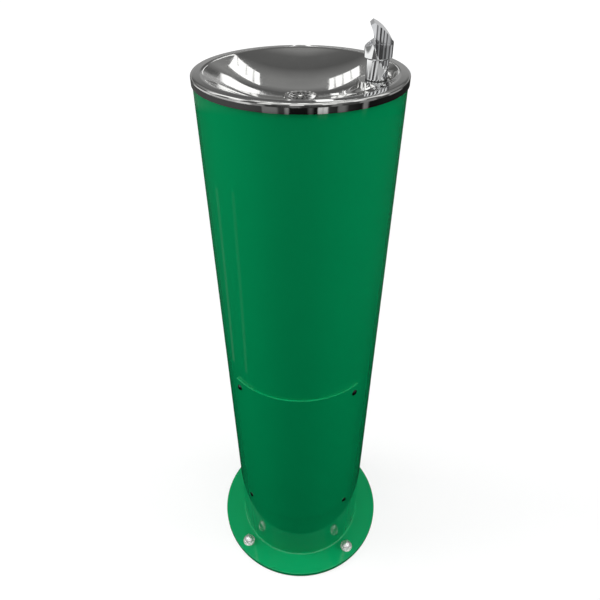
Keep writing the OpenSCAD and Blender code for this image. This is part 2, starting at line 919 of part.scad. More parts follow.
module stop_valve_body() {
    color(brass)
        at_valve()
            difference() {
                union() {
                    translate([0, 0, valve_z - valve_half]) cylinder(r = valve_r, h = 2 * valve_half);
                    translate([0, 0, valve_low]) cylinder(r = valve_spigot_r, h = valve_high - valve_low);
                    translate([0, 0, valve_z])
                        rotate([90, 0, 0]) cylinder(r = bonnet_r, h = valve_r + bonnet_l);
                }
                translate([0, 0, valve_low - eps])
                    cylinder(r = valve_bore_r, h = valve_high - valve_low + 2 * eps);
                translate([0, 0, valve_low - eps])
                    cylinder(r = pipe_r + seat_gap, h = pipe_top - valve_low + eps);
                translate([0, 0, valve_z]) sphere(r = ball_r + free_gap);
                translate([0, 0, valve_z])
                    rotate([90, 0, 0])
                        cylinder(r = spindle_r + running_gap, h = valve_r + bonnet_l + eps);
            }
}

module stop_valve_ball() {
    color(steel)
        at_valve()
            translate([0, 0, valve_z])
                difference() {
                    sphere(r = ball_r);
                    translate([0, 0, -2 * ball_r]) cylinder(r = valve_bore_r, h = 4 * ball_r);
                    translate([-tang_w / 2 - seat_gap, -2 * ball_r, -tang_h / 2 - seat_gap])
                        cube([tang_w + 2 * seat_gap, ball_r + slot_depth, tang_h + 2 * seat_gap]);
                }
}

module stop_valve_spindle() {
    shoulder = valve_r + bonnet_l + lever_gap;
    color(brass)
        at_valve()
            translate([0, 0, valve_z])
                rotate([90, 0, 0]) {
                    translate([0, 0, ball_r + 2 * seat_gap])
                        cylinder(r = spindle_r, h = shoulder - ball_r - 2 * seat_gap);
                    translate([-tang_w / 2, -tang_h / 2, ball_r - slot_depth + eps])
                        cube([tang_w, tang_h, slot_depth]);
                    translate([0, 0, shoulder - eps])
                        cylinder(r = spindle_thread_r, h = eps + lever_t + lever_nut_h + spindle_past);
                }
}

module stop_valve_lever() {
    color(red)
        at_valve()
            translate([0, -valve_r - bonnet_l - lever_gap, valve_z])
                rotate([90, 0, 0])
                    difference() {
                        union() {
                            cylinder(r = lever_w / 2, h = lever_t);
                            translate([-lever_arm_w / 2, 0, 0]) cube([lever_arm_w, lever_l, lever_t]);
                            translate([0, lever_l, 0]) cylinder(r = lever_arm_w / 2, h = lever_t);
                        }
                        translate([0, 0, -eps])
                            cylinder(r = spindle_thread_r + seat_gap, h = lever_t + 2 * eps);
                        translate([0, lever_l, -eps]) cylinder(r = lever_hole_r, h = lever_t + 2 * eps);
                    }
}

module lever_nut() {
    color(steel)
        at_valve()
            translate([0, -valve_r - bonnet_l - lever_gap - lever_t, valve_z])
                rotate([90, 0, 0])
                    difference() {
                        hex_block(lever_nut_flats, lever_nut_h);
                        translate([0, 0, -eps])
                            cylinder(r = spindle_thread_r + seat_gap, h = lever_nut_h + 2 * eps);
                    }
}

module valve_upper_nut() {
    color(brass)
        at_valve()
            translate([0, 0, valve_high - nut_wrap])
                union_nut(nut_flats, valve_spigot_r, nut_wrap + ferrule_t + nut_slack, tube_r, nut_tail);
}

// the supply tube's path: up from the valve, across to the bubbler in two bends, up to the shank
module tube_path(r, past, collar_r) {
    at_valve()
        rotate([0, 0, tube_turn]) {
            translate([0, 0, tube_low]) cylinder(r = collar_r, h = ferrule_t);
            translate([0, 0, tube_low - past]) cylinder(r = r, h = tube_bend_z - tube_low + past);
            translate([tube_bend_r, 0, tube_bend_z]) {
                rotate([90, 0, 0])
                    rotate([0, 0, 180 - tube_slope])
                        rotate_extrude(angle = tube_slope) translate([tube_bend_r, 0]) circle(r = r);
                rotate([0, tube_slope, 0])
                    translate([-tube_bend_r, 0, 0]) {
                        cylinder(r = r, h = tube_mid);
                        translate([-tube_bend_r, 0, tube_mid]) {
                            rotate([90, 0, 0])
                                rotate_extrude(angle = tube_slope)
                                    translate([tube_bend_r, 0]) circle(r = r);
                            rotate([0, -tube_slope, 0])
                                translate([tube_bend_r, 0, 0]) {
                                    cylinder(r = r, h = tube_last + past);
                                    translate([0, 0, tube_last - ferrule_t])
                                        cylinder(r = collar_r, h = ferrule_t);
                                }
                        }
                    }
            }
        }
}

module supply_tube() {
    color(copper)
        difference() {
            tube_path(tube_r, 0, ferrule_r);
            tube_path(tube_bore_r, eps, tube_bore_r);
        }
}

module tube_top_nut() {
    color(brass)
        at_bubbler()
            translate([0, 0, shank_end + nut_wrap])
                mirror([0, 0, 1])
                    union_nut(tube_nut_flats, shank_r, nut_wrap + ferrule_t + nut_slack, tube_r, nut_tail);
}

module bubbler_stem() {
    color(steel)
        at_bubbler()
            difference() {
                union() {
                    translate([0, 0, stem_z]) cylinder(r = stem_r, h = stem_top - stem_z);
                    translate([0, 0, shank_end]) cylinder(r = shank_r, h = stem_z - shank_end + eps);
                }
                translate([0, 0, spring_floor])
                    cylinder(r = spring_bore_r, h = stem_top - spring_floor + eps);
                translate([0, 0, web_z - eps])
                    cylinder(r = rod_r + running_gap, h = web_h + 2 * eps);
                translate([0, 0, web_z - chamber_l]) cylinder(r = chamber_r, h = chamber_l);
                translate([0, 0, shank_end - eps])
                    cylinder(r = tail_bore_r, h = web_z - chamber_l - shank_end + 2 * eps);
            }
}

module deck_gasket() {
    color(black)
        at_bubbler() translate([0, 0, deck_z]) ring(stem_r - gasket_inset, deck_hole_r, gasket_t);
}

module bubbler_washer() {
    color(steel)
        at_bubbler()
            translate([0, 0, deck_under - washer_under_t])
                ring(stem_r + washer_under_w, deck_hole_r, washer_under_t);
}

module bubbler_locknut() {
    color(brass)
        at_bubbler()
            translate([0, 0, deck_under - washer_under_t - locknut_h])
                difference() {
                    hex_block(locknut_flats, locknut_h);
                    translate([0, 0, -eps])
                        cylinder(r = shank_r + seat_gap, h = locknut_h + 2 * eps);
                }
}

module plunger() {
    color(brass)
        at_bubbler()
            difference() {
                union() {
                    translate([0, 0, disc_z - disc_h]) cylinder(r = disc_r, h = disc_h);
                    translate([0, 0, disc_z - eps]) cylinder(r = rod_r, h = head_ceiling - disc_z + eps);
                    translate([0, 0, head_ceiling - eps]) cylinder(r = spigot_r, h = spigot_h + eps);
                }
                translate([0, 0, rod_port_z])
                    cylinder(r = rod_bore_r, h = port_z - rod_port_z + port_r);
                translate([0, 0, port_z])
                    rotate([0, -90, 0]) cylinder(r = port_r, h = 2 * spigot_r);
                translate([-2 * rod_r, 0, rod_port_z])
                    rotate([0, 90, 0]) cylinder(r = port_r, h = 4 * rod_r);
            }
}

module valve_seal() {
    color(black)
        at_bubbler()
            translate([0, 0, disc_z + seal_ring_r])
                rotate_extrude() translate([seal_path_r, 0]) circle(r = seal_ring_r);
}

// the return spring's wire as one unbroken tube wound up from the stem to the head
module return_spring() {
    skin = [for (i = [0:coil_steps - 1], j = [0:wire_sides - 1])
        let (n = (j + 1) % wire_sides)
        [i * wire_sides + j, (i + 1) * wire_sides + j, (i + 1) * wire_sides + n, i * wire_sides + n]];
    first_end = [for (j = [0:wire_sides - 1]) j];
    last_end = [for (j = [wire_sides - 1:-1:0]) coil_steps * wire_sides + j];
    wire = [for (i = [0:coil_steps], j = [0:wire_sides - 1]) wire_point(i, 360 * j / wire_sides)];
    color(steel) at_bubbler() polyhedron(points = wire, faces = concat(skin, [first_end, last_end]));
}

module bubbler_head() {
    rise = head_top_z - head_z;
    color(steel)
        at_bubbler()
            difference() {
                union() {
                    translate([0, 0, head_z])
                        cylinder(r1 = head_r - head_chamfer, r2 = head_r, h = head_chamfer);
                    translate([0, 0, head_z + head_chamfer]) cylinder(r = head_r, h = rise - head_chamfer);
                }
                translate([0, 0, head_z - eps]) cylinder(r = head_bore_r, h = head_ceiling - head_z + eps);
                translate([slope_x, 0, head_top_z])
                    rotate([0, -nozzle_slope, 0])
                        translate([-2 * head_r, -2 * head_r, 0]) cube([4 * head_r, 4 * head_r, head_r]);
                translate([0, 0, head_ceiling - eps])
                    cylinder(r = spigot_r + seat_gap, h = spigot_h + eps + seat_gap);
                translate([0, 0, port_z])
                    rotate([0, -90, 0]) cylinder(r = port_r, h = -nozzle_x - port_short);
                at_nozzle() translate([0, 0, -nozzle_sunk])
                    cylinder(r = nozzle_r + seat_gap, h = nozzle_sunk + eps);
                translate([0, spigot_r, grub_z])
                    rotate([-90, 0, 0]) cylinder(r = grub_r + seat_gap, h = head_r);
                for (side = [-1, 1])
                    translate([dowel_x, side * dowel_y, head_top_z - dowel_l - seat_gap])
                        cylinder(r = dowel_r + seat_gap, h = dowel_l + 2 * eps);
            }
}

// the middle of the nozzle on the sloping face, Z along the jet
module at_nozzle() {
    translate([slope_x, 0, head_top_z])
        rotate([0, -nozzle_slope, 0])
            translate([(nozzle_x - slope_x) / cos(nozzle_slope), 0, 0]) children();
}

// the guard's side view: an outer curve leaning over the nozzle, a hollow front and a blunt tip
module guard_side() {
    curve_x = head_r - sqrt(guard_curve_r * guard_curve_r - guard_swell * guard_swell);
    curve_z = -guard_sink - guard_swell;
    front_reach = sqrt(guard_front_r * guard_front_r - guard_front_drop * guard_front_drop);
    front_x = slope_x + guard_setback - front_reach;
    difference() {
        intersection() {
            translate([curve_x, curve_z]) circle(r = guard_curve_r, $fn = 360);
            translate([-2 * head_r, 0]) square([3 * head_r, 2 * head_r]);
        }
        translate([front_x, -guard_front_drop]) circle(r = guard_front_r, $fn = 360);
        translate([guard_tip_x, guard_h - guard_tip_cut])
            rotate([0, 0, guard_tip_slope])
                translate([-head_r, 0]) square([2 * head_r, head_r]);
    }
}

module mouth_guard() {
    color(steel)
        at_bubbler()
            translate([0, 0, head_top_z]) {
                intersection() {
                    rotate([90, 0, 0])
                        translate([0, 0, -head_r]) linear_extrude(2 * head_r) guard_side();
                    cylinder(r = head_r, h = 2 * head_r);
                }
                for (side = [-1, 1])
                    translate([dowel_x, side * dowel_y, -dowel_l])
                        cylinder(r = dowel_r, h = dowel_l + eps);
            }
}

module nozzle() {
    color(steel)
        at_bubbler()
            at_nozzle()
                translate([0, 0, -nozzle_sunk])
                    ring(nozzle_r, nozzle_bore_r, nozzle_sunk + nozzle_proud);
}

module head_grub_screw() {
    color(black)
        at_bubbler()
            translate([0, spigot_r + seat_gap, grub_z])
                rotate([-90, 0, 0])
                    difference() {
                        cylinder(r = grub_r, h = grub_l);
                        translate([0, 0, grub_l - grub_key_depth]) hex_block(grub_key, grub_l);
                    }
}

base_plate();
pedestal_column();
access_panel();
panel_screws();
panel_rivet_nuts();
anchor_washers();
anchor_dome_nuts();
rim_seal();
bowl();
bowl_screws();
bowl_rivet_nuts();
strainer_gasket();
waste_strainer();
strainer_screw();
waste_gasket();
waste_body();
trap_inlet_nut();
trap_body();
trap_cup();
trap_outlet_nut();
waste_pipe();
bracket_bar();
waste_pipe_clip();
supply_pipe_clip();
clip_screws();
supply_pipe();
valve_lower_nut();
stop_valve_body();
stop_valve_ball();
stop_valve_spindle();
stop_valve_lever();
lever_nut();
valve_upper_nut();
supply_tube();
tube_top_nut();
bubbler_stem();
deck_gasket();
bubbler_washer();
bubbler_locknut();
plunger();
valve_seal();
return_spring();
bubbler_head();
mouth_guard();
nozzle();
head_grub_screw();
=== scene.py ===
import json
import math

import bpy
from mathutils import Matrix, Vector


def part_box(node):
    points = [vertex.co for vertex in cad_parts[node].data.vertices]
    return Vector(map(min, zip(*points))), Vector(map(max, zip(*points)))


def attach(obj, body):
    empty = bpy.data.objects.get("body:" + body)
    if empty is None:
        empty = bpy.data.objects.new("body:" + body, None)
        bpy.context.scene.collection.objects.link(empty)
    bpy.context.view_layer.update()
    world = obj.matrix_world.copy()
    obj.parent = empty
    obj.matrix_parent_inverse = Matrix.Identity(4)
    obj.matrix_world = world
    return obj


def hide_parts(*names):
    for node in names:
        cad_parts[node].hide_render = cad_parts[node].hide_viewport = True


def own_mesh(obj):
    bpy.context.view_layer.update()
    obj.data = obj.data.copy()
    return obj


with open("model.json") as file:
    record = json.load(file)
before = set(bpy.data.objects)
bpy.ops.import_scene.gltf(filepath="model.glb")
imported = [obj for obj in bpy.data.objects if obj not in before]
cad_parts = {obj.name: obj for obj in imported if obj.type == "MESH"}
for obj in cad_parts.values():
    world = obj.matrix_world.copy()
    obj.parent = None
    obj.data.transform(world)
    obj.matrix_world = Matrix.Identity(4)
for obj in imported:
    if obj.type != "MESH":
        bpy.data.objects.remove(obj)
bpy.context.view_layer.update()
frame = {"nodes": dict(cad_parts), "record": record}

bl_info = {
    "name": "Pedestal drinking fountain",
    "version": (1, 0, 0),
    "blender": (4, 5, 0),
    "location": "View3D > Sidebar > Fountain",
    "description": "Models and finishes a pedestal drinking fountain around its packed CAD frame",
    "category": "Add Mesh",
}

MM = 0.001
ROOT = "pedestal"
HEAD = "press_head"

# play between two pieces that touch
SEAT_GAP = 0.05 * MM
# radii of the column's holes for the rivet nuts of the panel and of the bowl's skirt
PANEL_NUT_HOLE_R = 3.85 * MM
SKIRT_NUT_HOLE_R = 2.35 * MM
# degrees from the front at which the skirt's screws stand
SKIRT_SCREW_TURNS = (110, 180, 250)
# thickness of an anchor's washer, in millimetres
WASHER_T = 2.5
# most of a noise texture's values lie between these two
NOISE_SPAN = (0.3, 0.7)


def hex_colour(code):
    """An sRGB hex value as linear RGB with full alpha."""
    parts = [int(code[i:i + 2], 16) / 255 for i in (1, 3, 5)]
    return tuple(c / 12.92 if c <= 0.04045 else ((c + 0.055) / 1.055) ** 2.4 for c in parts) + (1.0,)


def length(name, mm, text):
    """A length property, written in millimetres and kept in metres."""
    return bpy.props.FloatProperty(name=name, description=text, default=mm * MM, unit="LENGTH", precision=4)


def angle(name, degrees, text):
    """An angle property, written in degrees and kept in radians."""
    return bpy.props.FloatProperty(name=name, description=text, default=math.radians(degrees), subtype="ANGLE")


def swatch(name, code, text):
    """A colour property, written as an sRGB hex value."""
    return bpy.props.FloatVectorProperty(
        name=name, description=text, subtype="COLOR", size=4, min=0, max=1, default=hex_colour(code))


class PedestalSizes(bpy.types.PropertyGroup):
    """Sizes of the floor plate, the column and the access panel."""
    column_r: length("Column radius", 125, "Outside radius of the column tube")
    column_wall: length("Column wall", 3, "Wall of the column tube")
    column_top: length("Column top", 927, "Height of the column's upper edge")
    foot_weld: length("Foot weld", 3, "Leg of the weld around the column's foot")
    plate_r: length("Plate radius", 168, "Radius of the floor plate")
    plate_t: length("Plate thickness", 10, "Thickness of the floor plate")
    plate_edge: length("Plate edge", 1.2, "Rounding of the floor plate's edges")
    service_r: length("Service opening", 100, "Radius of the opening in the floor plate")
    anchor_r: length("Anchor circle", 147.5, "Radius of the circle on which the anchors stand")
    anchor_hole_r: length("Anchor hole", 7, "Radius of an anchor hole")
    panel_in: length("Panel inside", 125.3, "Inside radius of the access panel")
    panel_t: length("Panel thickness", 3, "Thickness of the access panel")
    panel_bottom: length("Panel bottom", 158, "Height of the panel's lower edge")
    panel_top: length("Panel top", 498, "Height of the panel's upper edge")
    panel_corner: length("Panel corner", 2.5, "Rounding of the panel's corners")
    panel_half: angle("Panel half angle", 49, "Half of the angle that the panel wraps")
    screw_angle: angle("Screw angle", 44.6, "Angle of the panel screws from the front")
    screw_inset: length("Screw inset", 15, "Distance of the panel screws from the panel's ends")
    opening_margin: length("Opening margin", 14, "Distance from a panel screw to the opening in the column")


class BowlSizes(bpy.types.PropertyGroup):
    """Sizes of the bowl and its bubbler."""
    rim_z: length("Rim height", 930, "Height of the bowl's rim")
    rim_r: length("Rim radius", 126.5, "Outside radius of the bowl's skirt")
    rim_round: length("Rim rounding", 2.5, "Rounding of the rim's outer edge")
    skirt_drop: length("Skirt", 10.5, "Height of the skirt below the rim")
    skirt_screw_drop: length("Skirt screws", 6.5, "Depth of the skirt's screws below the rim")
    sheet: length("Sheet", 1.2, "Thickness of the bowl's sheet")
    dish_r: length("Dish radius", 114, "Radius of the dish at the rim")
    dish_depth: length("Dish depth", 31, "Depth of the dish below the rim")
    lip_round: length("Lip rounding", 8, "Rounding between the rim and the dish")
    bubbler_x: length("Bubbler place", 88, "Distance of the bubbler from the bowl's middle")
    deck_r: length("Deck radius", 21.5, "Radius of the flat deck under the bubbler")
    deck_z: length("Deck height", 920.5, "Height of the flat deck under the bubbler")
    deck_flare: length("Deck flare", 18, "Radius of the flare between deck and dish")
    stem_r: length("Stem radius", 13, "Radius of the bubbler's stem")
    head_r: length("Head radius", 16, "Radius of the press head")
    slope_x: length("Slope", -5.4, "Where the head's sloping face starts, from the bubbler's axis")
    slope: angle("Slope angle", 28, "Slope of the nozzle face")


class FountainColours(bpy.types.PropertyGroup):
    """Colours of the finishes."""
    paint: swatch("Paint", "#00985b", "Gloss green powder coat")
    stainless: swatch("Stainless", "#c6c6c4", "Polished stainless steel")
    chrome: swatch("Chrome", "#dcdddf", "Chrome plate")
    anchor: swatch("Anchor nuts", "#f0f0ee", "Bead-blasted stainless anchor nuts")
    black: swatch("Black nickel", "#6c6c6c", "Black-nickelled steel screws")
    rubber: swatch("Rubber", "#1b1b1b", "Black rubber")
    brass: swatch("Brass", "#b08d4a", "Machined brass")
    copper: swatch("Copper", "#b06a4a", "Drawn copper")
    plastic: swatch("White plastic", "#e2e1da", "Moulded polypropylene")
    zinc: swatch("Zinc", "#a9acae", "Zinc-plated steel")
    red: swatch("Red vinyl", "#a51d17", "Dipped vinyl on the valve lever")


# materials

def add(tree, kind, settings=None, links=None):
    """One node with its settings, its fixed inputs and the sockets that feed it."""
    node = tree.nodes.new(kind)
    for key, value in (settings or {}).items():
        if isinstance(key, int) or key in node.inputs:
            node.inputs[key].default_value = value
        else:
            setattr(node, key, value)
    for key, socket in (links or {}).items():
        tree.links.new(socket, node.inputs[key])
    return node


def bare_material(name):
    """A material without nodes, and its tree."""
    mat = bpy.data.materials.new(name)
    mat.use_nodes = True
    mat.node_tree.nodes.clear()
    return mat, mat.node_tree


def blank(name):
    """A finish to be filled: the material, its tree and the place on the piece in millimetres."""
    mat, tree = bare_material(name)
    place = add(tree, "ShaderNodeTexCoord")
    mm = add(tree, "ShaderNodeVectorMath", {"operation": "SCALE", "Scale": 1 / MM}, {0: place.outputs["Object"]})
    return mat, tree, mm.outputs["Vector"]


def skin(tree, settings, colour, tone, rough, relief=None, rough_span=NOISE_SPAN):
    """The shader that ends a finish. A pattern and its two limits give the colour's depth, another the roughness,
    and relief is a pattern with its strength and its height in millimetres."""
    pattern, low, high = tone
    depth = add(tree, "ShaderNodeMapRange",
                {"From Min": NOISE_SPAN[0], "From Max": NOISE_SPAN[1], "To Min": low, "To Max": high},
                {"Value": pattern})
    tint = add(tree, "ShaderNodeVectorMath", {"operation": "SCALE", 0: colour[:3]}, {"Scale": depth.outputs["Result"]})
    pattern, low, high = rough
    gloss = add(tree, "ShaderNodeMapRange",
                {"From Min": rough_span[0], "From Max": rough_span[1], "To Min": low, "To Max": high},
                {"Value": pattern})
    links = {"Base Color": tint.outputs["Vector"], "Roughness": gloss.outputs["Result"]}
    if relief:
        pattern, strength, height = relief
        bump = add(tree, "ShaderNodeBump", {"Strength": strength, "Distance": height * MM}, {"Height": pattern})
        links["Normal"] = bump.outputs["Normal"]
        if "Coat Weight" in settings:
            links["Coat Normal"] = bump.outputs["Normal"]
    shader = add(tree, "ShaderNodeBsdfPrincipled", settings, links)
    add(tree, "ShaderNodeOutputMaterial", None, {"Surface": shader.outputs["BSDF"]})


def gloss_powder_coat(name, colour):
    """Gloss polyester powder coat: a deep even green under a clear skin with a faint orange peel."""
    mat, tree, mm = blank(name)
    # the coat's thickness drifts over a hand's width, which shows as a slow change of depth
    drift = add(tree, "ShaderNodeTexNoise", {"Scale": 1 / 90, "Detail": 3.0}, {"Vector": mm})
    haze = add(tree, "ShaderNodeTexNoise", {"Scale": 1 / 25, "Detail": 2.0}, {"Vector": mm})
    # orange peel of such a coat is 2 to 4 mm wide
    peel = add(tree, "ShaderNodeTexNoise", {"Scale": 1 / 3.2, "Detail": 1.0}, {"Vector": mm})
    # the clear skin alone mirrors
    coat = {"IOR": 1.5, "Specular IOR Level": 0.0, "Coat Weight": 1.0, "Coat Roughness": 0.035}
    skin(tree, coat, colour, tone=(drift.outputs["Fac"], 0.985, 1.015), rough=(haze.outputs["Fac"], 0.2, 0.3),
         relief=(peel.outputs["Fac"], 0.04, 0.02))
    return mat


def buffed_stainless(name, colour):
    """Stainless steel, spun and buffed: a clear mirror with fine rings round the bowl's axis."""
    mat, tree, mm = blank(name)
    flat = add(tree, "ShaderNodeVectorMath", {"operation": "MULTIPLY", 1: (1.0, 1.0, 0.0)}, {0: mm})
    ring = add(tree, "ShaderNodeVectorMath", {"operation": "LENGTH"}, {0: flat.outputs["Vector"]})
    # buffing lines are finer than 0.1 mm, and are drawn 1.2 mm apart so that they show
    lines = add(tree, "ShaderNodeTexNoise", {"noise_dimensions": "1D", "Scale": 1 / 1.2, "Detail": 3.0},
                {"W": ring.outputs["Value"]})
    cloud = add(tree, "ShaderNodeTexNoise", {"Scale": 1 / 30, "Detail": 3.0}, {"Vector": mm})
    worn = add(tree, "ShaderNodeMath", {"operation": "MULTIPLY"},
               {0: lines.outputs["Fac"], 1: cloud.outputs["Fac"]})
    skin(tree, {"Metallic": 1.0}, colour, tone=(cloud.outputs["Fac"], 0.94, 1.03),
         rough=(worn.outputs["Value"], 0.02, 0.09), rough_span=(0.15, 0.4), relief=(lines.outputs["Fac"], 0.05, 0.01))
    return mat


def satin_stainless(name, colour):
    """Stainless strainer and its screw: turned steel with a satin surface."""
    mat, tree, mm = blank(name)
    cloud = add(tree, "ShaderNodeTexNoise", {"Scale": 1 / 6, "Detail": 2.0}, {"Vector": mm})
    # satin grain is about 0.1 mm, and is drawn 0.8 mm wide so that it shows
    grain = add(tree, "ShaderNodeTexNoise", {"Scale": 1 / 0.8, "Detail": 3.0}, {"Vector": mm})
    skin(tree, {"Metallic": 1.0}, colour, tone=(cloud.outputs["Fac"], 0.9, 1.05),
         rough=(grain.outputs["Fac"], 0.05, 0.14), relief=(grain.outputs["Fac"], 0.1, 0.01))
    return mat


def bright_chrome(name, colour):
    """Chrome plate on brass: a hard mirror with the slight ripple of the polished casting below."""
    mat, tree, mm = blank(name)
    cloud = add(tree, "ShaderNodeTexNoise", {"Scale": 1 / 4, "Detail": 3.0}, {"Vector": mm})
    haze = add(tree, "ShaderNodeTexNoise", {"Scale": 1 / 1.5, "Detail": 3.0}, {"Vector": mm})
    # hand polishing leaves waves about 7 mm long
    wave = add(tree, "ShaderNodeTexNoise", {"Scale": 1 / 7, "Detail": 1.0}, {"Vector": mm})
    skin(tree, {"Metallic": 1.0}, colour, tone=(cloud.outputs["Fac"], 0.95, 1.02),
         rough=(haze.outputs["Fac"], 0.02, 0.05), relief=(wave.outputs["Fac"], 0.12, 0.05))
    return mat


def black_nickel(name, colour):
    """Black-nickelled screw steel: a dark mirror with a faint haze and worn specks."""
    mat, tree, mm = blank(name)
    # the plating's pits are finer than 0.1 mm, and are drawn 0.5 mm wide so that they show
    specks = add(tree, "ShaderNodeTexNoise", {"Scale": 1 / 0.5, "Detail": 3.0}, {"Vector": mm})
    skin(tree, {"Metallic": 1.0}, colour, tone=(specks.outputs["Fac"], 0.8, 1.2),
         rough=(specks.outputs["Fac"], 0.06, 0.16))
    return mat


def blasted_stainless(name, colour):
    """Bead-blasted stainless anchor nuts: pale and half bright, with a fine even pitting."""
    mat, tree, mm = blank(name)
    # blasting pits are about 0.1 mm, and are drawn 1 mm wide so that they show
    pits = add(tree, "ShaderNodeTexNoise", {"Scale": 1 / 1.0, "Detail": 3.0}, {"Vector": mm})
    skin(tree, {"Metallic": 0.85}, colour, tone=(pits.outputs["Fac"], 0.85, 1.1),
         rough=(pits.outputs["Fac"], 0.2, 0.32), relief=(pits.outputs["Fac"], 0.3, 0.05))
    return mat


def inner_metal(name, colour, grain_mm, rough_low, rough_high):
    """A plated, drawn or machined metal with fine grain and cloudy tarnish."""
    mat, tree, mm = blank(name)
    cloud = add(tree, "ShaderNodeTexNoise", {"Scale": 1 / 12, "Detail": 4.0}, {"Vector": mm})
    grain = add(tree, "ShaderNodeTexNoise", {"Scale": 1 / grain_mm, "Detail": 3.0}, {"Vector": mm})
    skin(tree, {"Metallic": 1.0}, colour, tone=(cloud.outputs["Fac"], 0.82, 1.06),
         rough=(grain.outputs["Fac"], rough_low, rough_high), relief=(grain.outputs["Fac"], 0.15, 0.02))
    return mat


def moulding(name, colour, grain_mm, rough_low, rough_high):
    """A moulded plastic or rubber with the fine grain of its mould."""
    mat, tree, mm = blank(name)
    cloud = add(tree, "ShaderNodeTexNoise", {"Scale": 1 / 20, "Detail": 3.0}, {"Vector": mm})
    grain = add(tree, "ShaderNodeTexNoise", {"Scale": 1 / grain_mm, "Detail": 2.0}, {"Vector": mm})
    skin(tree, {"IOR": 1.5}, colour, tone=(cloud.outputs["Fac"], 0.92, 1.04),
         rough=(grain.outputs["Fac"], rough_low, rough_high), relief=(grain.outputs["Fac"], 0.2, 0.02))
    return mat


# what makes each slot's finish: its maker, its name, its colour property and the maker's other values
FINISHES = {
    "green_paint": (gloss_powder_coat, "gloss_green_powder_coat", "paint"),
    "polished_stainless": (buffed_stainless, "buffed_stainless_steel", "stainless"),
    "drain_stainless": (satin_stainless, "satin_stainless_steel", "stainless"),
    "anchor_stainless": (blasted_stainless, "blasted_stainless_steel", "anchor"),
    "chrome": (bright_chrome, "bright_chrome_plate", "chrome"),
    "black_steel": (black_nickel, "black_nickel_steel", "black"),
    "zinc_steel": (inner_metal, "zinc_plated_steel", "zinc", 1.0, 0.28, 0.45),
    "spring_steel": (inner_metal, "drawn_spring_steel", "stainless", 0.4, 0.15, 0.3),
    "brass": (inner_metal, "machined_brass", "brass", 0.6, 0.18, 0.35),
    "copper": (inner_metal, "drawn_copper", "copper", 0.8, 0.2, 0.4),
    "black_rubber": (moulding, "moulded_rubber", "rubber", 0.6, 0.55, 0.75),
    "black_plastic": (moulding, "moulded_black_nylon", "rubber", 0.8, 0.35, 0.5),
    "white_plastic": (moulding, "moulded_white_polypropylene", "plastic", 1.2, 0.25, 0.4),
    "red_lever": (moulding, "dipped_red_vinyl", "red", 1.5, 0.3, 0.45),
}


def finish_of(slot):
    """The material of a slot, made when it is first asked for."""
    maker, name, colour, *values = FINISHES[slot]
    return bpy.data.materials.get(name) or maker(name, getattr(bpy.context.scene.fountain_colours, colour), *values)


# modelling helpers

def clear_selection():
    """Leaves edit mode and deselects everything."""
    if bpy.context.object and bpy.context.object.mode != "OBJECT":
        bpy.ops.object.mode_set(mode="OBJECT")
    bpy.ops.object.select_all(action="DESELECT")


def only(obj):
    """Selects one object and makes it active."""
    clear_selection()
    obj.select_set(True)
    bpy.context.view_layer.objects.active = obj


def arc(centre, radius, start, end, count):
    """Points of an arc in a half section, angles in degrees from the radius axis towards Z."""
    turns = [math.radians(start + (end - start) * i / count) for i in range(count + 1)]
    return [(centre[0] + radius * math.cos(t), centre[1] + radius * math.sin(t)) for t in turns]


def in_metres(points):
    """Half-section points in millimetres as metres."""
    return [(r * MM, z * MM) for r, z in points]


def edit(obj):
    """Enters edit mode on one object, all of it selected."""
    only(obj)
    bpy.ops.object.mode_set(mode="EDIT")
    bpy.ops.mesh.select_all(action="SELECT")


def edit_where(obj, kind, test):
    """Enters edit mode on one object, with only the vertices or edges selected that pass a test."""
    only(obj)
    bpy.ops.object.mode_set(mode="EDIT")
    bpy.ops.mesh.select_mode(type=kind)
    bpy.ops.mesh.select_all(action="DESELECT")
    bpy.ops.object.mode_set(mode="OBJECT")
    for item in obj.data.edges if kind == "EDGE" else obj.data.vertices:
        item.select = test(item)
    bpy.ops.object.mode_set(mode="EDIT")


def trace(points):
    """A line drawn by extruding one vertex from point to point, left in edit mode."""
    clear_selection()
    bpy.ops.mesh.primitive_plane_add(size=MM)
    obj = bpy.context.object
    bpy.ops.object.mode_set(mode="EDIT")
    bpy.ops.mesh.select_mode(type="VERT")
    bpy.ops.mesh.select_all(action="SELECT")
    bpy.ops.mesh.merge(type="CENTER")
    bpy.ops.transform.translate(value=points[0])
    for a, b in zip(points, points[1:]):
        bpy.ops.mesh.extrude_region_move(TRANSFORM_OT_translate={"value": Vector(b) - Vector(a)})
    return obj


def tidy():
    """Merges doubles, turns faces outwards and leaves edit mode."""
    bpy.ops.mesh.select_all(action="SELECT")
    bpy.ops.mesh.remove_doubles(threshold=0.002 * MM)
    bpy.ops.mesh.normals_make_consistent(inside=False)
    bpy.ops.object.mode_set(mode="OBJECT")


def lathe(section, steps=128, centre=(0.0, 0.0), sectors=None):
    """A turned piece from a half section of (radius, height) points, in even steps or by (share, steps) sectors."""
    cx, cy = centre
    obj = trace([(cx + r, cy, z) for r, z in section])
    bpy.ops.mesh.select_all(action="SELECT")
    for share, count in sectors or [(1.0, steps)]:
        bpy.ops.mesh.spin(steps=count, angle=2 * math.pi * share, center=(cx, cy, 0), axis=(0, 0, 1))
    tidy()
    return obj


def modify(obj, kind, **settings):
    """Adds a modifier and applies it."""
    only(obj)
    bpy.ops.object.modifier_add(type=kind)
    mod = obj.modifiers[-1]
    for key, value in settings.items():
        setattr(mod, key, value)
    bpy.ops.object.modifier_apply(modifier=mod.name)


def combine(obj, tool, operation):
    """A boolean with a tool that is then thrown away."""
    modify(obj, "BOOLEAN", operation=operation, solver="EXACT", object=tool)
    bpy.data.objects.remove(tool)


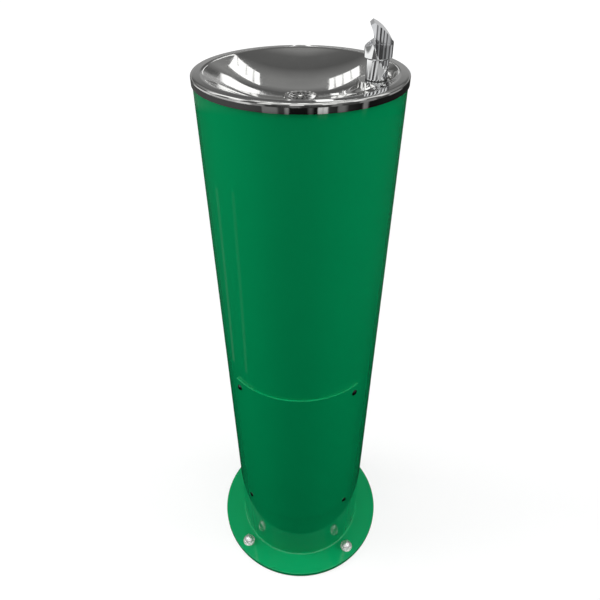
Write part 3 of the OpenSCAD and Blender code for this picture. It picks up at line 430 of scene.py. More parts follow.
def soften(obj, width, segments=3, limit=35):
    """Rounds the sharp edges of a piece."""
    modify(obj, "BEVEL", width=width, segments=segments, limit_method="ANGLE", angle_limit=math.radians(limit))


def rod(radius, depth, centre=(0, 0, 0), vertices=48):
    """An upright bar, used as a cutting tool or as the start of a nut."""
    clear_selection()
    bpy.ops.mesh.primitive_cylinder_add(vertices=vertices, radius=radius, depth=depth, location=centre)
    bpy.ops.object.transform_apply(location=True, rotation=True, scale=True)
    return bpy.context.object


def block(size, centre):
    """A box, used as a cutting tool or as the start of a plate."""
    clear_selection()
    bpy.ops.mesh.primitive_cube_add(size=1, location=centre, scale=size)
    bpy.ops.object.transform_apply(location=True, rotation=True, scale=True)
    return bpy.context.object


def join(objs):
    """Several meshes as one object."""
    only(objs[0])
    for obj in objs[1:]:
        obj.select_set(True)
    bpy.ops.object.join()
    return objs[0]


def copies(obj, places):
    """The same solid at each place, each with its own mesh, joined as a group."""
    out = []
    for place in places:
        only(obj)
        bpy.ops.object.duplicate()
        twin = bpy.context.object
        twin.data.transform(place)
        out.append(twin)
    bpy.data.objects.remove(obj)
    return join(out)


def radial(turn, radius, z):
    """The place of a feature at an angle from the front, its Z axis pointing out of the column."""
    return (Matrix.Rotation(turn, 4, "Z") @ Matrix.Translation((0, -radius, z))
            @ Matrix.Rotation(math.pi / 2, 4, "X"))


def register_piece(obj, name, slot, body, node, limit=32, weighted=True, finish=None):
    """Shades a finished piece, gives it its finish and sets it in the frame in place of its node."""
    only(obj)
    bpy.ops.object.shade_smooth_by_angle(angle=math.radians(limit))
    if weighted:
        modify(obj, "WEIGHTED_NORMAL", keep_sharp=True, weight=60)
    obj.name = name
    obj.data.name = name
    obj.data.materials.clear()
    obj.data.materials.append(finish_of(finish or slot))
    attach(obj, body)
    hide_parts(node)


# pieces

def anchor_places(s, lift):
    """The four anchor places round the floor plate, at a height above it."""
    return [Matrix.Rotation(math.radians(45 + 90 * i), 4, "Z")
            @ Matrix.Translation((0, -s.anchor_r, s.plate_t + lift)) for i in range(4)]


class FloorPlate(bpy.types.Operator):
    """The round floor plate with its service opening and anchor holes"""
    bl_idname = "fountain.floor_plate"
    bl_label = "Floor plate"

    def execute(self, context):
        s = context.scene.pedestal_sizes
        edge, chamfer = s.plate_edge, 0.5 * MM
        section = [(s.service_r, s.plate_t - chamfer), (s.service_r, chamfer), (s.service_r + chamfer, 0)]
        section += arc((s.plate_r - edge, edge), edge, -90, 0, 5)
        section += arc((s.plate_r - edge, s.plate_t - edge), edge, 0, 90, 5)
        section += [(s.service_r + chamfer, s.plate_t), (s.service_r, s.plate_t - chamfer)]
        plate = lathe(section, 256)
        for place in anchor_places(s, -s.plate_t):
            combine(plate, rod(s.anchor_hole_r, 4 * s.plate_t, place.translation), "DIFFERENCE")
        register_piece(plate, "floor_plate", "green_paint", ROOT, "base_plate")
        return {"FINISHED"}


class Column(bpy.types.Operator):
    """The column tube with its foot weld, its opening and the holes of its rivet nuts"""
    bl_idname = "fountain.column"
    bl_label = "Column"

    def execute(self, context):
        s = context.scene.pedestal_sizes
        b = context.scene.bowl_sizes
        inner, weld, chamfer, drill_l = s.column_r - s.column_wall, s.foot_weld, 0.4 * MM, 20 * MM
        section = [(inner, s.column_top - chamfer), (inner, s.plate_t)]
        section += arc((s.column_r + weld, s.plate_t + weld), weld, 270, 180, 6)
        section += [(s.column_r, s.column_top - chamfer), (s.column_r - chamfer, s.column_top)]
        section += [(inner + chamfer, s.column_top), (inner, s.column_top - chamfer)]
        tube = lathe(section, 256)
        low, high = s.panel_bottom + s.screw_inset, s.panel_top - s.screw_inset
        half = s.column_r * math.sin(s.screw_angle) - s.opening_margin
        combine(tube, block((2 * half, s.column_r, high - low - 2 * s.opening_margin),
                            (0, -s.column_r, (low + high) / 2)), "DIFFERENCE")
        holes = [(side * s.screw_angle, z, PANEL_NUT_HOLE_R) for z in (low, high) for side in (-1, 1)]
        holes += [(math.radians(a), b.rim_z - b.skirt_screw_drop, SKIRT_NUT_HOLE_R) for a in SKIRT_SCREW_TURNS]
        for turn, z, r in holes:
            drill = rod(r, drill_l, vertices=32)
            drill.data.transform(radial(turn, inner, z))
            combine(tube, drill, "DIFFERENCE")
        register_piece(tube, "column_tube", "green_paint", ROOT, "pedestal_column")
        return {"FINISHED"}


class AccessPanel(bpy.types.Operator):
    """The curved access panel with its rounded corners"""
    bl_idname = "fountain.access_panel"
    bl_label = "Access panel"

    def execute(self, context):
        s = context.scene.pedestal_sizes
        edge, cuts = 0.3 * MM, 96
        middle = s.panel_in + s.panel_t / 2
        width = 2 * s.panel_half * middle
        panel = block((width, s.panel_t, s.panel_top - s.panel_bottom), (0, 0, (s.panel_bottom + s.panel_top) / 2))

        def crosses_sheet(line):
            a, b = (panel.data.vertices[i].co for i in line.vertices)
            return abs(a.y - b.y) > s.panel_t / 2

        edit_where(panel, "EDGE", crosses_sheet)
        bpy.ops.mesh.bevel(offset=s.panel_corner, segments=5)
        bpy.ops.object.mode_set(mode="OBJECT")
        soften(panel, edge, limit=50)
        edit(panel)
        for i in range(1, cuts):
            bpy.ops.mesh.select_all(action="SELECT")
            bpy.ops.mesh.bisect(plane_co=(width * (i / cuts - 0.5), 0, 0), plane_no=(1, 0, 0))
        tidy()
        # the flat plate is rolled round the column
        for v in panel.data.vertices:
            r, turn = middle - v.co.y, v.co.x / middle
            v.co = (r * math.sin(turn), -r * math.cos(turn), v.co.z)
        edit(panel)
        tidy()
        register_piece(panel, "access_cover", "green_paint", ROOT, "access_panel")
        return {"FINISHED"}


def button_screw(head_r, head_h, edge, ball, key, key_depth, shank_r, shank_l):
    """A button-head socket screw standing on z = 0 with its shank below, sizes in millimetres."""
    steps, chamfer, point_r, point_l = 8, 0.15, 0.3, 0.4
    crown = []
    for i in range(steps + 1):
        r = head_r * (1 - i / steps)
        crown.append((r, max(head_h - ball + math.sqrt(ball * ball - r * r), edge)))
    section = [(0, -shank_l), (shank_r - point_r, -shank_l), (shank_r, -shank_l + point_l), (shank_r, 0.0)]
    section += [(head_r - chamfer, 0.0), (head_r, chamfer)] + crown
    screw = lathe(in_metres(section), 48)
    combine(screw, rod(key / math.sqrt(3) * MM, 2 * key_depth * MM, (0, 0, head_h * MM), 6), "DIFFERENCE")
    return screw


class PanelScrews(bpy.types.Operator):
    """Four black button-head screws in the access panel's corners"""
    bl_idname = "fountain.panel_screws"
    bl_label = "Panel screws"

    def execute(self, context):
        s = context.scene.pedestal_sizes
        out = s.panel_in + s.panel_t + SEAT_GAP
        places = [radial(side * s.screw_angle, out, z)
                  for z in (s.panel_bottom + s.screw_inset, s.panel_top - s.screw_inset) for side in (-1, 1)]
        screw = button_screw(head_r=5.0, head_h=2.8, edge=1.0, ball=7.5, key=3.0, key_depth=1.6,
                             shank_r=2.5, shank_l=12.0)
        register_piece(copies(screw, places), "panel_button_screws", "black_steel", ROOT, "panel_screws", limit=40)
        return {"FINISHED"}


class AnchorWashers(bpy.types.Operator):
    """Washers on the four floor anchors"""
    bl_idname = "fountain.anchor_washers"
    bl_label = "Anchor washers"

    def execute(self, context):
        s = context.scene.pedestal_sizes
        bore, r, t, chamfer, stamped = 6.5, 12.0, WASHER_T, 0.3, 0.4
        section = [(bore, t - chamfer), (bore, chamfer), (bore + chamfer, 0.0), (r - chamfer, 0.0), (r, stamped),
                   (r, t - stamped), (r - 0.1, t - 0.1), (r - 0.5, t), (bore + chamfer, t), (bore, t - chamfer)]
        washers = copies(lathe(in_metres(section), 64), anchor_places(s, 0.0))
        register_piece(washers, "anchor_flat_washers", "polished_stainless", ROOT, "anchor_washers", limit=40,
                       finish="anchor_stainless")
        return {"FINISHED"}


class AnchorNuts(bpy.types.Operator):
    """Low dome nuts on the four floor anchors"""
    bl_idname = "fountain.anchor_nuts"
    bl_label = "Anchor dome nuts"

    def execute(self, context):
        s = context.scene.pedestal_sizes
        flats, height, foot_r, corner_r, shoulder_r = 19.0, 7.0, 10.2, 11.2, 9.3
        dome_r, ball, ball_z, dome_steps = 9.2, 11.0, 1.5, 14
        thread_r, thread_l = 5.2, 9.0
        nut = rod(flats / math.sqrt(3) * MM, height * MM, (0, 0, height / 2 * MM), 6)
        # a turned blank takes the corners off the hexagon
        turned = [(0, -0.1), (foot_r, -0.1), (corner_r, 0.6), (corner_r, 5.9), (shoulder_r, height),
                  (shoulder_r, height + 0.2), (0, height + 0.2)]
        combine(nut, lathe(in_metres(turned), 96), "INTERSECT")
        radii = [dome_r * math.cos(math.radians(90 * i / dome_steps)) for i in range(dome_steps)]
        dome = [(0, height - 1), (dome_r, height - 1)]
        dome += [(r, ball_z + math.sqrt(ball * ball - r * r)) for r in radii] + [(0, ball_z + ball)]
        combine(nut, lathe(in_metres(dome), 64), "UNION")
        combine(nut, rod(thread_r * MM, 2 * thread_l * MM), "DIFFERENCE")
        nuts = copies(nut, anchor_places(s, WASHER_T * MM))
        register_piece(nuts, "anchor_cap_nuts", "polished_stainless", ROOT, "anchor_dome_nuts", limit=38,
                       finish="anchor_stainless")
        return {"FINISHED"}


def smooth_step(value):
    """0 below 0, 1 above 1, and a smooth ramp between."""
    t = min(max(value, 0.0), 1.0)
    return t * t * (3 - 2 * t)


def soft_max(a, b, reach):
    """The larger of two heights, with a fillet where they meet."""
    h = min(max(0.5 + 0.5 * (a - b) / reach, 0.0), 1.0)
    return b + (a - b) * h + reach * h * (1 - h)


class Bowl(bpy.types.Operator):
    """The pressed bowl with its dish, rolled rim, skirt and bubbler deck"""
    bl_idname = "fountain.bowl"
    bl_label = "Bowl"

    def section(self, s):
        """The half section of the upper face, from the drain up the dish and over the rim to the skirt's edge."""
        drain_r, seat_r, seat_sink, dish_start = 15.5 * MM, 20.0 * MM, 1.0 * MM, 21.2 * MM
        coarse, fine, fine_from = 3.0 * MM, 1.0 * MM, 46 * MM
        ball = (s.dish_r ** 2 + s.dish_depth ** 2) / (2 * s.dish_depth)
        mid = s.rim_z - s.dish_depth + ball
        lip_z = s.rim_z - s.lip_round
        lip_r = math.sqrt((ball + s.lip_round) ** 2 - (mid - lip_z) ** 2)
        touch = lip_r * ball / (ball + s.lip_round)
        seat = s.rim_z - s.dish_depth - seat_sink
        points = [(drain_r, seat), (18 * MM, seat), (seat_r, seat), (seat_r + 0.5 * MM, seat + 0.25 * MM)]
        r = dish_start
        while r < touch - 0.3 * MM:
            points.append((r, mid - math.sqrt(ball * ball - r * r)))
            r += coarse if r < fine_from else fine
        lean = math.degrees(math.atan2(mid - lip_z, lip_r))
        points += arc((lip_r, lip_z), s.lip_round, 180 - lean, 90, 8)
        curl = s.rim_r - s.rim_round
        points += [(lip_r + (curl - lip_r) * i / 4, s.rim_z) for i in (1, 2, 3)]
        points += arc((curl, s.rim_z - s.rim_round), s.rim_round, 90, 0, 8)
        low = s.rim_z - s.skirt_drop
        return points + [(s.rim_r, low + 4 * MM), (s.rim_r, low + 1 * MM), (s.rim_r, low)]

    def raise_deck(self, bowl, s):
        """Presses the flat deck for the bubbler, sunk next to the rim and raised over the dish."""
        rim_start, fillet = s.dish_r + 4 * MM, 3.5 * MM
        wall_start, wall_w = s.deck_r - 0.9 * MM, 2.6 * MM
        for v in bowl.data.vertices:
            q = math.hypot(v.co.x - s.bubbler_x, v.co.y)
            if q > s.deck_r + s.deck_flare or math.hypot(v.co.x, v.co.y) > rim_start:
                continue
            fall = s.deck_flare ** 2 - (s.deck_r + s.deck_flare - q) ** 2
            mound = s.deck_z - math.sqrt(max(fall, 0.0))
            shape = soft_max(v.co.z, mound, fillet)
            v.co.z = s.deck_z + (shape - s.deck_z) * smooth_step((q - wall_start) / wall_w)

    def cut_stem_hole(self, bowl, s):
        """Opens the deck for the bubbler's shank and draws the opening's edge to a circle."""
        hole, edge_w = 11.4 * MM, 0.45 * MM
        edit_where(bowl, "VERT", lambda v: math.hypot(v.co.x - s.bubbler_x, v.co.y) < hole)
        bpy.ops.mesh.delete(type="VERT")
        bpy.ops.object.mode_set(mode="OBJECT")
        for v in bowl.data.vertices:
            q = Vector((v.co.x - s.bubbler_x, v.co.y))
            if q.length < hole + edge_w:
                q = q.normalized() * hole
                v.co.x, v.co.y = s.bubbler_x + q.x, q.y

    def execute(self, context):
        s = context.scene.bowl_sizes
        # the sector under the bubbler is turned in fine steps, and then the rest of the ring
        sector, sector_steps, rest_steps = 64, 142, 186
        bowl = lathe(self.section(s), sectors=[(sector / 360, sector_steps), ((360 - sector) / 360, rest_steps)])
        bowl.data.transform(Matrix.Rotation(math.radians(-sector / 2), 4, "Z"))
        self.raise_deck(bowl, s)
        self.cut_stem_hole(bowl, s)
        if sum(p.normal.z * p.area for p in bowl.data.polygons) < 0:
            edit(bowl)
            bpy.ops.mesh.flip_normals()
            bpy.ops.object.mode_set(mode="OBJECT")
        modify(bowl, "SOLIDIFY", thickness=s.sheet, offset=-1.0)
        register_piece(bowl, "bowl_pressing", "polished_stainless", ROOT, "bowl", limit=50, weighted=False)
        return {"FINISHED"}


class BowlScrews(bpy.types.Operator):
    """Three small screws through the back of the bowl's skirt"""
    bl_idname = "fountain.bowl_screws"
    bl_label = "Bowl screws"

    def execute(self, context):
        s = context.scene.bowl_sizes
        places = [radial(math.radians(a), s.rim_r + SEAT_GAP, s.rim_z - s.skirt_screw_drop) for a in SKIRT_SCREW_TURNS]
        screw = button_screw(head_r=2.9, head_h=1.7, edge=0.6, ball=4.6, key=2.0, key_depth=1.0,
                             shank_r=1.5, shank_l=9.0)
        register_piece(copies(screw, places), "skirt_button_screws", "polished_stainless", ROOT, "bowl_screws",
                       limit=40)
        return {"FINISHED"}


class Strainer(bpy.types.Operator):
    """The waste strainer with its holes"""
    bl_idname = "fountain.strainer"
    bl_label = "Waste strainer"

    def execute(self, context):
        low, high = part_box("waste_strainer")
        z0, z1 = low.z / MM, high.z / MM
        bore, r, chamfer, shoulder_h, shoulder_w = 2.9, 19.0, 0.3, 0.8, 0.9
        rows, hole_r, drill_l = ((7.0, 6), (11.8, 12)), 1.7, 20.0
        section = [(bore, z1 - chamfer), (bore, z0), (r - chamfer, z0), (r, z0 + chamfer), (r, z1 - shoulder_h),
                   (r - chamfer, z1 - chamfer), (r - shoulder_w, z1), (bore + chamfer, z1), (bore, z1 - chamfer)]
        plate = lathe(in_metres(section), 96)
        drills = []
        for row, (ring, count) in enumerate(rows):
            for i in range(count):
                turn = 2 * math.pi * (i + row / 2) / count
                place = (ring * MM * math.cos(turn), ring * MM * math.sin(turn), low.z)
                drills.append(rod(hole_r * MM, drill_l * MM, place, 24))
        combine(plate, join(drills), "DIFFERENCE")
        register_piece(plate, "strainer_plate", "drain_stainless", ROOT, "waste_strainer", limit=35)
        return {"FINISHED"}


class StrainerScrew(bpy.types.Operator):
    """The button-head screw that holds the strainer"""
    bl_idname = "fountain.strainer_screw"
    bl_label = "Strainer screw"

    def execute(self, context):
        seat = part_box("waste_strainer")[1].z
        screw = button_screw(head_r=4.6, head_h=2.4, edge=0.7, ball=7.0, key=2.5, key_depth=1.4,
                             shank_r=2.5, shank_l=18.0)
        screw.data.transform(Matrix.Translation((0, 0, seat + SEAT_GAP)))
        register_piece(screw, "strainer_button_screw", "drain_stainless", ROOT, "strainer_screw", limit=40)
        return {"FINISHED"}


class Stem(bpy.types.Operator):
    """The chrome stem with its shank and valve bores"""
    bl_idname = "fountain.stem"
    bl_label = "Bubbler stem"

    def execute(self, context):
        s = context.scene.bowl_sizes
        low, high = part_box("bubbler_stem")
        z0, z1 = low.z / MM, high.z / MM
        foot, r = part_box("deck_gasket")[1].z / MM, s.stem_r / MM
        # radii of the shank and of the bores from the tail up, and the heights at which the bores change
        shank, tail, chamber, guide, spring = 11.0, 4.5, 7.5, 4.05, 9.0
        chamber_end, web, spring_floor = 890.0, 918.0, 926.0
        section = [(tail, z0), (shank - 0.4, z0), (shank, z0 + 0.4), (shank, foot), (r - 0.3, foot), (r, foot + 0.3)]
        section += [(r, z1 - 0.5), (r - 0.5, z1), (spring + 0.2, z1), (spring, z1 - 0.2), (spring, spring_floor)]
        section += [(guide, spring_floor), (guide, web), (chamber, web), (chamber, chamber_end), (tail, chamber_end)]
        stem = lathe(in_metres(section + section[:1]), 128, (s.bubbler_x, 0.0))
        register_piece(stem, "chrome_stem", "chrome", ROOT, "bubbler_stem", limit=35)
        return {"FINISHED"}


class PressHead(bpy.types.Operator):
    """The round press head with its sloping nozzle face"""
    bl_idname = "fountain.press_head"
    bl_label = "Press head"

    def execute(self, context):
        s = context.scene.bowl_sizes
        low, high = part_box("bubbler_head")
        z0, z1, r = low.z / MM, high.z / MM, s.head_r / MM
        play, ceiling_drop, mouth, foot_bevel, edge = 0.3, 8.5, 0.3, 1.6, 0.4
        bore, ceiling = s.stem_r / MM + play, z1 - ceiling_drop
        section = [(0.0, ceiling), (bore, ceiling), (bore, z0 + mouth), (bore + mouth, z0), (r - foot_bevel, z0),
                   (r, z0 + foot_bevel), (r, z1), (0.0, z1)]
        shell = lathe(in_metres(section), 128, (s.bubbler_x, 0.0))
        edit(shell)
        bpy.ops.mesh.bisect(plane_co=(s.bubbler_x + s.slope_x, 0, high.z),
                            plane_no=(-math.sin(s.slope), 0, math.cos(s.slope)), use_fill=True, clear_outer=True)
        bpy.ops.object.mode_set(mode="OBJECT")
        soften(shell, edge * MM, limit=25)
        register_piece(shell, "press_head_shell", "chrome", HEAD, "bubbler_head", limit=30)
        return {"FINISHED"}


class MouthGuard(bpy.types.Operator):
    """The leaning mouth guard: cut from the head's own round, with a hollow front, a curved back and a blunt tip"""
    bl_idname = "fountain.mouth_guard"
    bl_label = "Mouth guard"

    def execute(self, context):
        s = context.scene.bowl_sizes
        seat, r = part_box("bubbler_head")[1].z, s.head_r / MM
        # the arcs of back and front and the line that cuts the tip, in millimetres from the bubbler's axis and the seat
        back_r, swell, sink, back_h, back_steps = 49.0, 23.5, 2.0, 20.6, 60
        front_r, drop, setback, front_h, front_steps = 60.0, 12.5, 0.4, 20.0, 40
        tip_x, tip_z, tip = -8.3, 19.7, math.radians(38)
        edge, blank_w, blank_h = 0.4 * MM, 2.2 * s.head_r, 80 * MM
        back_x, back_z = r - math.sqrt(back_r ** 2 - swell ** 2), -sink - swell
        front_x = s.slope_x / MM + setback - math.sqrt(front_r ** 2 - drop ** 2)
        rise = [back_h * i / back_steps for i in range(back_steps + 1)]
        fall = [front_h * (1 - i / front_steps) for i in range(front_steps + 1)]
        outline = [(back_x + math.sqrt(back_r ** 2 - (z - back_z) ** 2), z) for z in rise]
        outline += [(front_x + math.sqrt(front_r ** 2 - (z + drop) ** 2), z) for z in fall]
        outline = [(x, z) for x, z in outline if (z - tip_z) * math.cos(tip) <= (x - tip_x) * math.sin(tip)]
        fin = trace([(s.bubbler_x + x * MM, -blank_w / 2, seat + z * MM) for x, z in outline])
        bpy.ops.mesh.select_all(action="SELECT")
        bpy.ops.mesh.edge_face_add()
        bpy.ops.mesh.extrude_region_move(TRANSFORM_OT_translate={"value": (0, blank_w, 0)})
        tidy()
        combine(fin, rod(s.head_r, blank_h, (s.bubbler_x, 0, seat), 128), "INTERSECT")
        soften(fin, edge, 2, 28)
        register_piece(fin, "mouth_guard_fin", "chrome", HEAD, "mouth_guard", limit=30)
        return {"FINISHED"}


class Nozzle(bpy.types.Operator):
    """The jet in the head's sloping face"""
    bl_idname = "fountain.nozzle"
    bl_label = "Nozzle"

    def execute(self, context):
        s = context.scene.bowl_sizes
        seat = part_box("bubbler_head")[1].z
        bore, r, sunk, proud, place_x = 1.1, 2.4, 3.0, 1.6, -10 * MM
        section = [(bore, -sunk), (r, -sunk), (r, proud - 0.4), (r - 0.3, proud), (bore + 0.4, proud),
                   (bore, proud - 0.4), (bore, -sunk)]
        jet = lathe(in_metres(section), 48)
        along = (place_x - s.slope_x) / math.cos(s.slope)
        jet.data.transform(Matrix.Translation((s.bubbler_x + s.slope_x, 0, seat)) @ Matrix.Rotation(-s.slope, 4, "Y")
                           @ Matrix.Translation((along, 0, 0)))
        register_piece(jet, "jet_nozzle", "chrome", HEAD, "nozzle", limit=35)
        return {"FINISHED"}


class ReturnSpring(bpy.types.Operator):
    """The return spring coiled inside the stem"""
    bl_idname = "fountain.return_spring"
    bl_label = "Return spring"

    def execute(self, context):
        s = context.scene.bowl_sizes
        low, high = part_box("return_spring")
        wire, coil, half_turns, steps, travel = 0.7 * MM, 6.8 * MM, 13, 20, 5.0 * MM
        clear_selection()
        bpy.ops.mesh.primitive_circle_add(vertices=16, radius=wire, rotation=(math.pi / 2, 0, 0))
        bpy.ops.object.transform_apply(location=True, rotation=True, scale=True)
        spring = context.object
        spring.data.transform(Matrix.Translation((coil, 0, 0)))
        modify(spring, "SCREW", angle=math.pi, iterations=half_turns, steps=steps, render_steps=steps,
               screw_offset=(high.z - low.z - 2 * wire) / half_turns)
        spring.data.transform(Matrix.Translation((s.bubbler_x, 0, low.z + wire)))
        edit(spring)
        bpy.ops.mesh.fill_holes(sides=0)
        tidy()
        register_piece(spring, "return_spring_coil", "spring_steel", ROOT, "return_spring", limit=40, weighted=False)
        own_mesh(spring)
        return {"FINISHED"}


class InnerFinishes(bpy.types.Operator):
    """Finishes on the pieces inside the column and under the bowl"""
    bl_idname = "fountain.inner_finishes"
    bl_label = "Inner finishes"

    def execute(self, context):
        for part in frame["record"]["subparts"]:
            node = frame["nodes"][part["node"]]
            node.data.materials.clear()
            node.data.materials.append(finish_of(part["material_slot"]))
        return {"FINISHED"}


# studio

# light of the bands of wall that the skirt, the head and the guard mirror: degrees from the front, and a grey level
SKIRT_BAND = ((-180, 0.05), (-150, 0.1), (-62, 0.1), (-35, 0.07), (-34, 0.24), (-20, 0.24), (-18, 0.06), (-12, 0.06),
              (-11, 0.35), (-8, 0.35), (-7, 0.01), (10, 0.01), (12, 0.12), (15, 0.12), (16, 0.01), (20.5, 0.01),
              (21, 0.85), (24.5, 0.85), (25, 0.25), (25.5, 0.85), (30, 0.85), (31, 0.05), (40, 0.03), (41, 0.22),
              (47, 0.22), (52, 0.03), (67, 0.01), (69, 0.3), (73, 0.25), (75, 0.01), (180, 0.03))
HEAD_BAND = ((-180, 0.03), (-140, 0.06), (-128, 1.0), (-99, 1.0), (-96, 0.7), (-64, 0.7), (-61, 1.0), (-48, 1.0),
             (-44, 0.35), (-33, 0.3), (-30, 0.06), (-8, 0.06), (-5, 0.24), (2, 0.24), (5, 0.06), (32, 0.06),
             (35, 0.24), (43, 0.24), (46, 0.08), (62, 0.08), (65, 0.32), (82, 0.32), (85, 0.1), (100, 0.1),
             (104, 0.5), (122, 0.5), (130, 0.05), (180, 0.03))
GUARD_BAND = ((-180, 0.03), (-140, 0.06), (-120, 0.9), (-34, 0.9), (-31, 0.25), (-20, 0.25), (-18, 0.7), (-4, 0.7),
              (-2, 0.06), (10, 0.06), (12, 0.6), (24, 0.6), (26, 0.1), (34, 0.1), (36, 0.6), (50, 0.6),
              (52, 0.15), (62, 0.15), (64, 0.5), (80, 0.5), (110, 0.08), (180, 0.03))


def hide_from_all_but_mirrors(obj):
    """A stage card is seen only in the object's reflections."""
    for flag in ("visible_camera", "visible_diffuse", "visible_shadow", "visible_transmission"):
        setattr(obj, flag, False)


def set_levels(ramp, levels, low, high):
    """Grey levels along a ramp, their places between low and high."""
    points = ramp.color_ramp.elements
    while len(points) < len(levels):
        points.new(0.5)
    for point, (where, level) in zip(points, levels):
        point.position = (where - low) / (high - low)
        point.color = (level, level, level, 1)


def polar(radius, degrees):
    """A point on the floor at an angle from the front."""
    turn = math.radians(degrees)
    return radius * math.sin(turn), -radius * math.cos(turn)


def upright(a, b, low, high):
    """The corners of an upright card between two points on the floor."""
    return [(*a, low), (*b, low), (*b, high), (*a, high)]


def lying(a, b, z):
    """The corners of a level card between two opposite corners."""
    return [(a[0], a[1], z), (b[0], a[1], z), (b[0], b[1], z), (a[0], b[1], z)]


def card(name, corners, levels, reach=None, round_axis=False):
    """A studio card that only shows in reflections. Its glow is one level, or a run of levels over its height or,
    round the axis, over the distance from the object."""
    clear_selection()
    bpy.ops.mesh.primitive_plane_add(size=1)
    obj = bpy.context.object
    obj.name = name
    for v, c in zip(obj.data.vertices, (corners[0], corners[1], corners[3], corners[2])):
        v.co = c
    mat, tree = bare_material(name)
    if reach is None:
        glow = add(tree, "ShaderNodeEmission", {"Strength": levels})
    else:
        place = add(tree, "ShaderNodeTexCoord").outputs["Object"]
        if round_axis:
            run = add(tree, "ShaderNodeVectorMath", {"operation": "LENGTH"}, {0: place})
        else:
            run = add(tree, "ShaderNodeVectorMath", {"operation": "DOT_PRODUCT", 1: (0, 0, 1)}, {0: place})
        share = add(tree, "ShaderNodeMapRange", {"From Min": reach[0], "From Max": reach[1]},
                    {"Value": run.outputs["Value"]})
        ramp = add(tree, "ShaderNodeValToRGB", None, {"Fac": share.outputs["Result"]})
        set_levels(ramp, levels, *reach)
        glow = add(tree, "ShaderNodeEmission", None, {"Color": ramp.outputs["Color"]})
    add(tree, "ShaderNodeOutputMaterial", None, {"Surface": glow.outputs["Emission"]})
    obj.data.materials.append(mat)
    hide_from_all_but_mirrors(obj)


def ring_card(name, low, high, levels, foot=0.0001, crown=0.0001):
    """A band of wall round the object whose glow changes with the angle and fades at its foot and crown."""
    radius = 2.4
    clear_selection()
    bpy.ops.mesh.primitive_cylinder_add(vertices=96, radius=radius, depth=high - low, end_fill_type="NOTHING")
    obj = bpy.context.object
    obj.name = name
    obj.data.transform(Matrix.Translation((0, 0, (low + high) / 2)))
    mat, tree = bare_material(name)
    place = add(tree, "ShaderNodeTexCoord")
    flip = add(tree, "ShaderNodeVectorMath", {"operation": "MULTIPLY", 1: (1.0, -1.0, 1.0)},
               {0: place.outputs["Object"]})
    split = add(tree, "ShaderNodeSeparateXYZ", None, {0: flip.outputs["Vector"]})
    turn = add(tree, "ShaderNodeMath", {"operation": "ARCTAN2"}, {0: split.outputs["X"], 1: split.outputs["Y"]})
    share = add(tree, "ShaderNodeMapRange", {"From Min": -math.pi, "From Max": math.pi},
                {"Value": turn.outputs["Value"]})
    ramp = add(tree, "ShaderNodeValToRGB", None, {"Fac": share.outputs["Result"]})
    set_levels(ramp, levels, -180, 180)
    rise = add(tree, "ShaderNodeMapRange", {"From Min": low, "From Max": low + foot}, {"Value": split.outputs["Z"]})
    fall = add(tree, "ShaderNodeMapRange", {"From Min": high, "From Max": high - crown}, {"Value": split.outputs["Z"]})
    both = add(tree, "ShaderNodeMath", {"operation": "MULTIPLY"},
               {0: rise.outputs["Result"], 1: fall.outputs["Result"]})
    glow = add(tree, "ShaderNodeEmission", None, {"Color": ramp.outputs["Color"], "Strength": both.outputs["Value"]})
    add(tree, "ShaderNodeOutputMaterial", None, {"Surface": glow.outputs["Emission"]})
    obj.data.materials.append(mat)
    hide_from_all_but_mirrors(obj)


def looked_at(tree):
    """1 where the camera, a mirror or glass looks, and 0 where a surface only gathers light."""
    path = add(tree, "ShaderNodeLightPath")
    shown = add(tree, "ShaderNodeMath", {"operation": "MAXIMUM"},
                {0: path.outputs["Is Camera Ray"], 1: path.outputs["Is Glossy Ray"]})
    seen = add(tree, "ShaderNodeMath", {"operation": "MAXIMUM"},
               {0: shown.outputs["Value"], 1: path.outputs["Is Transmission Ray"]})
    return seen.outputs["Value"]


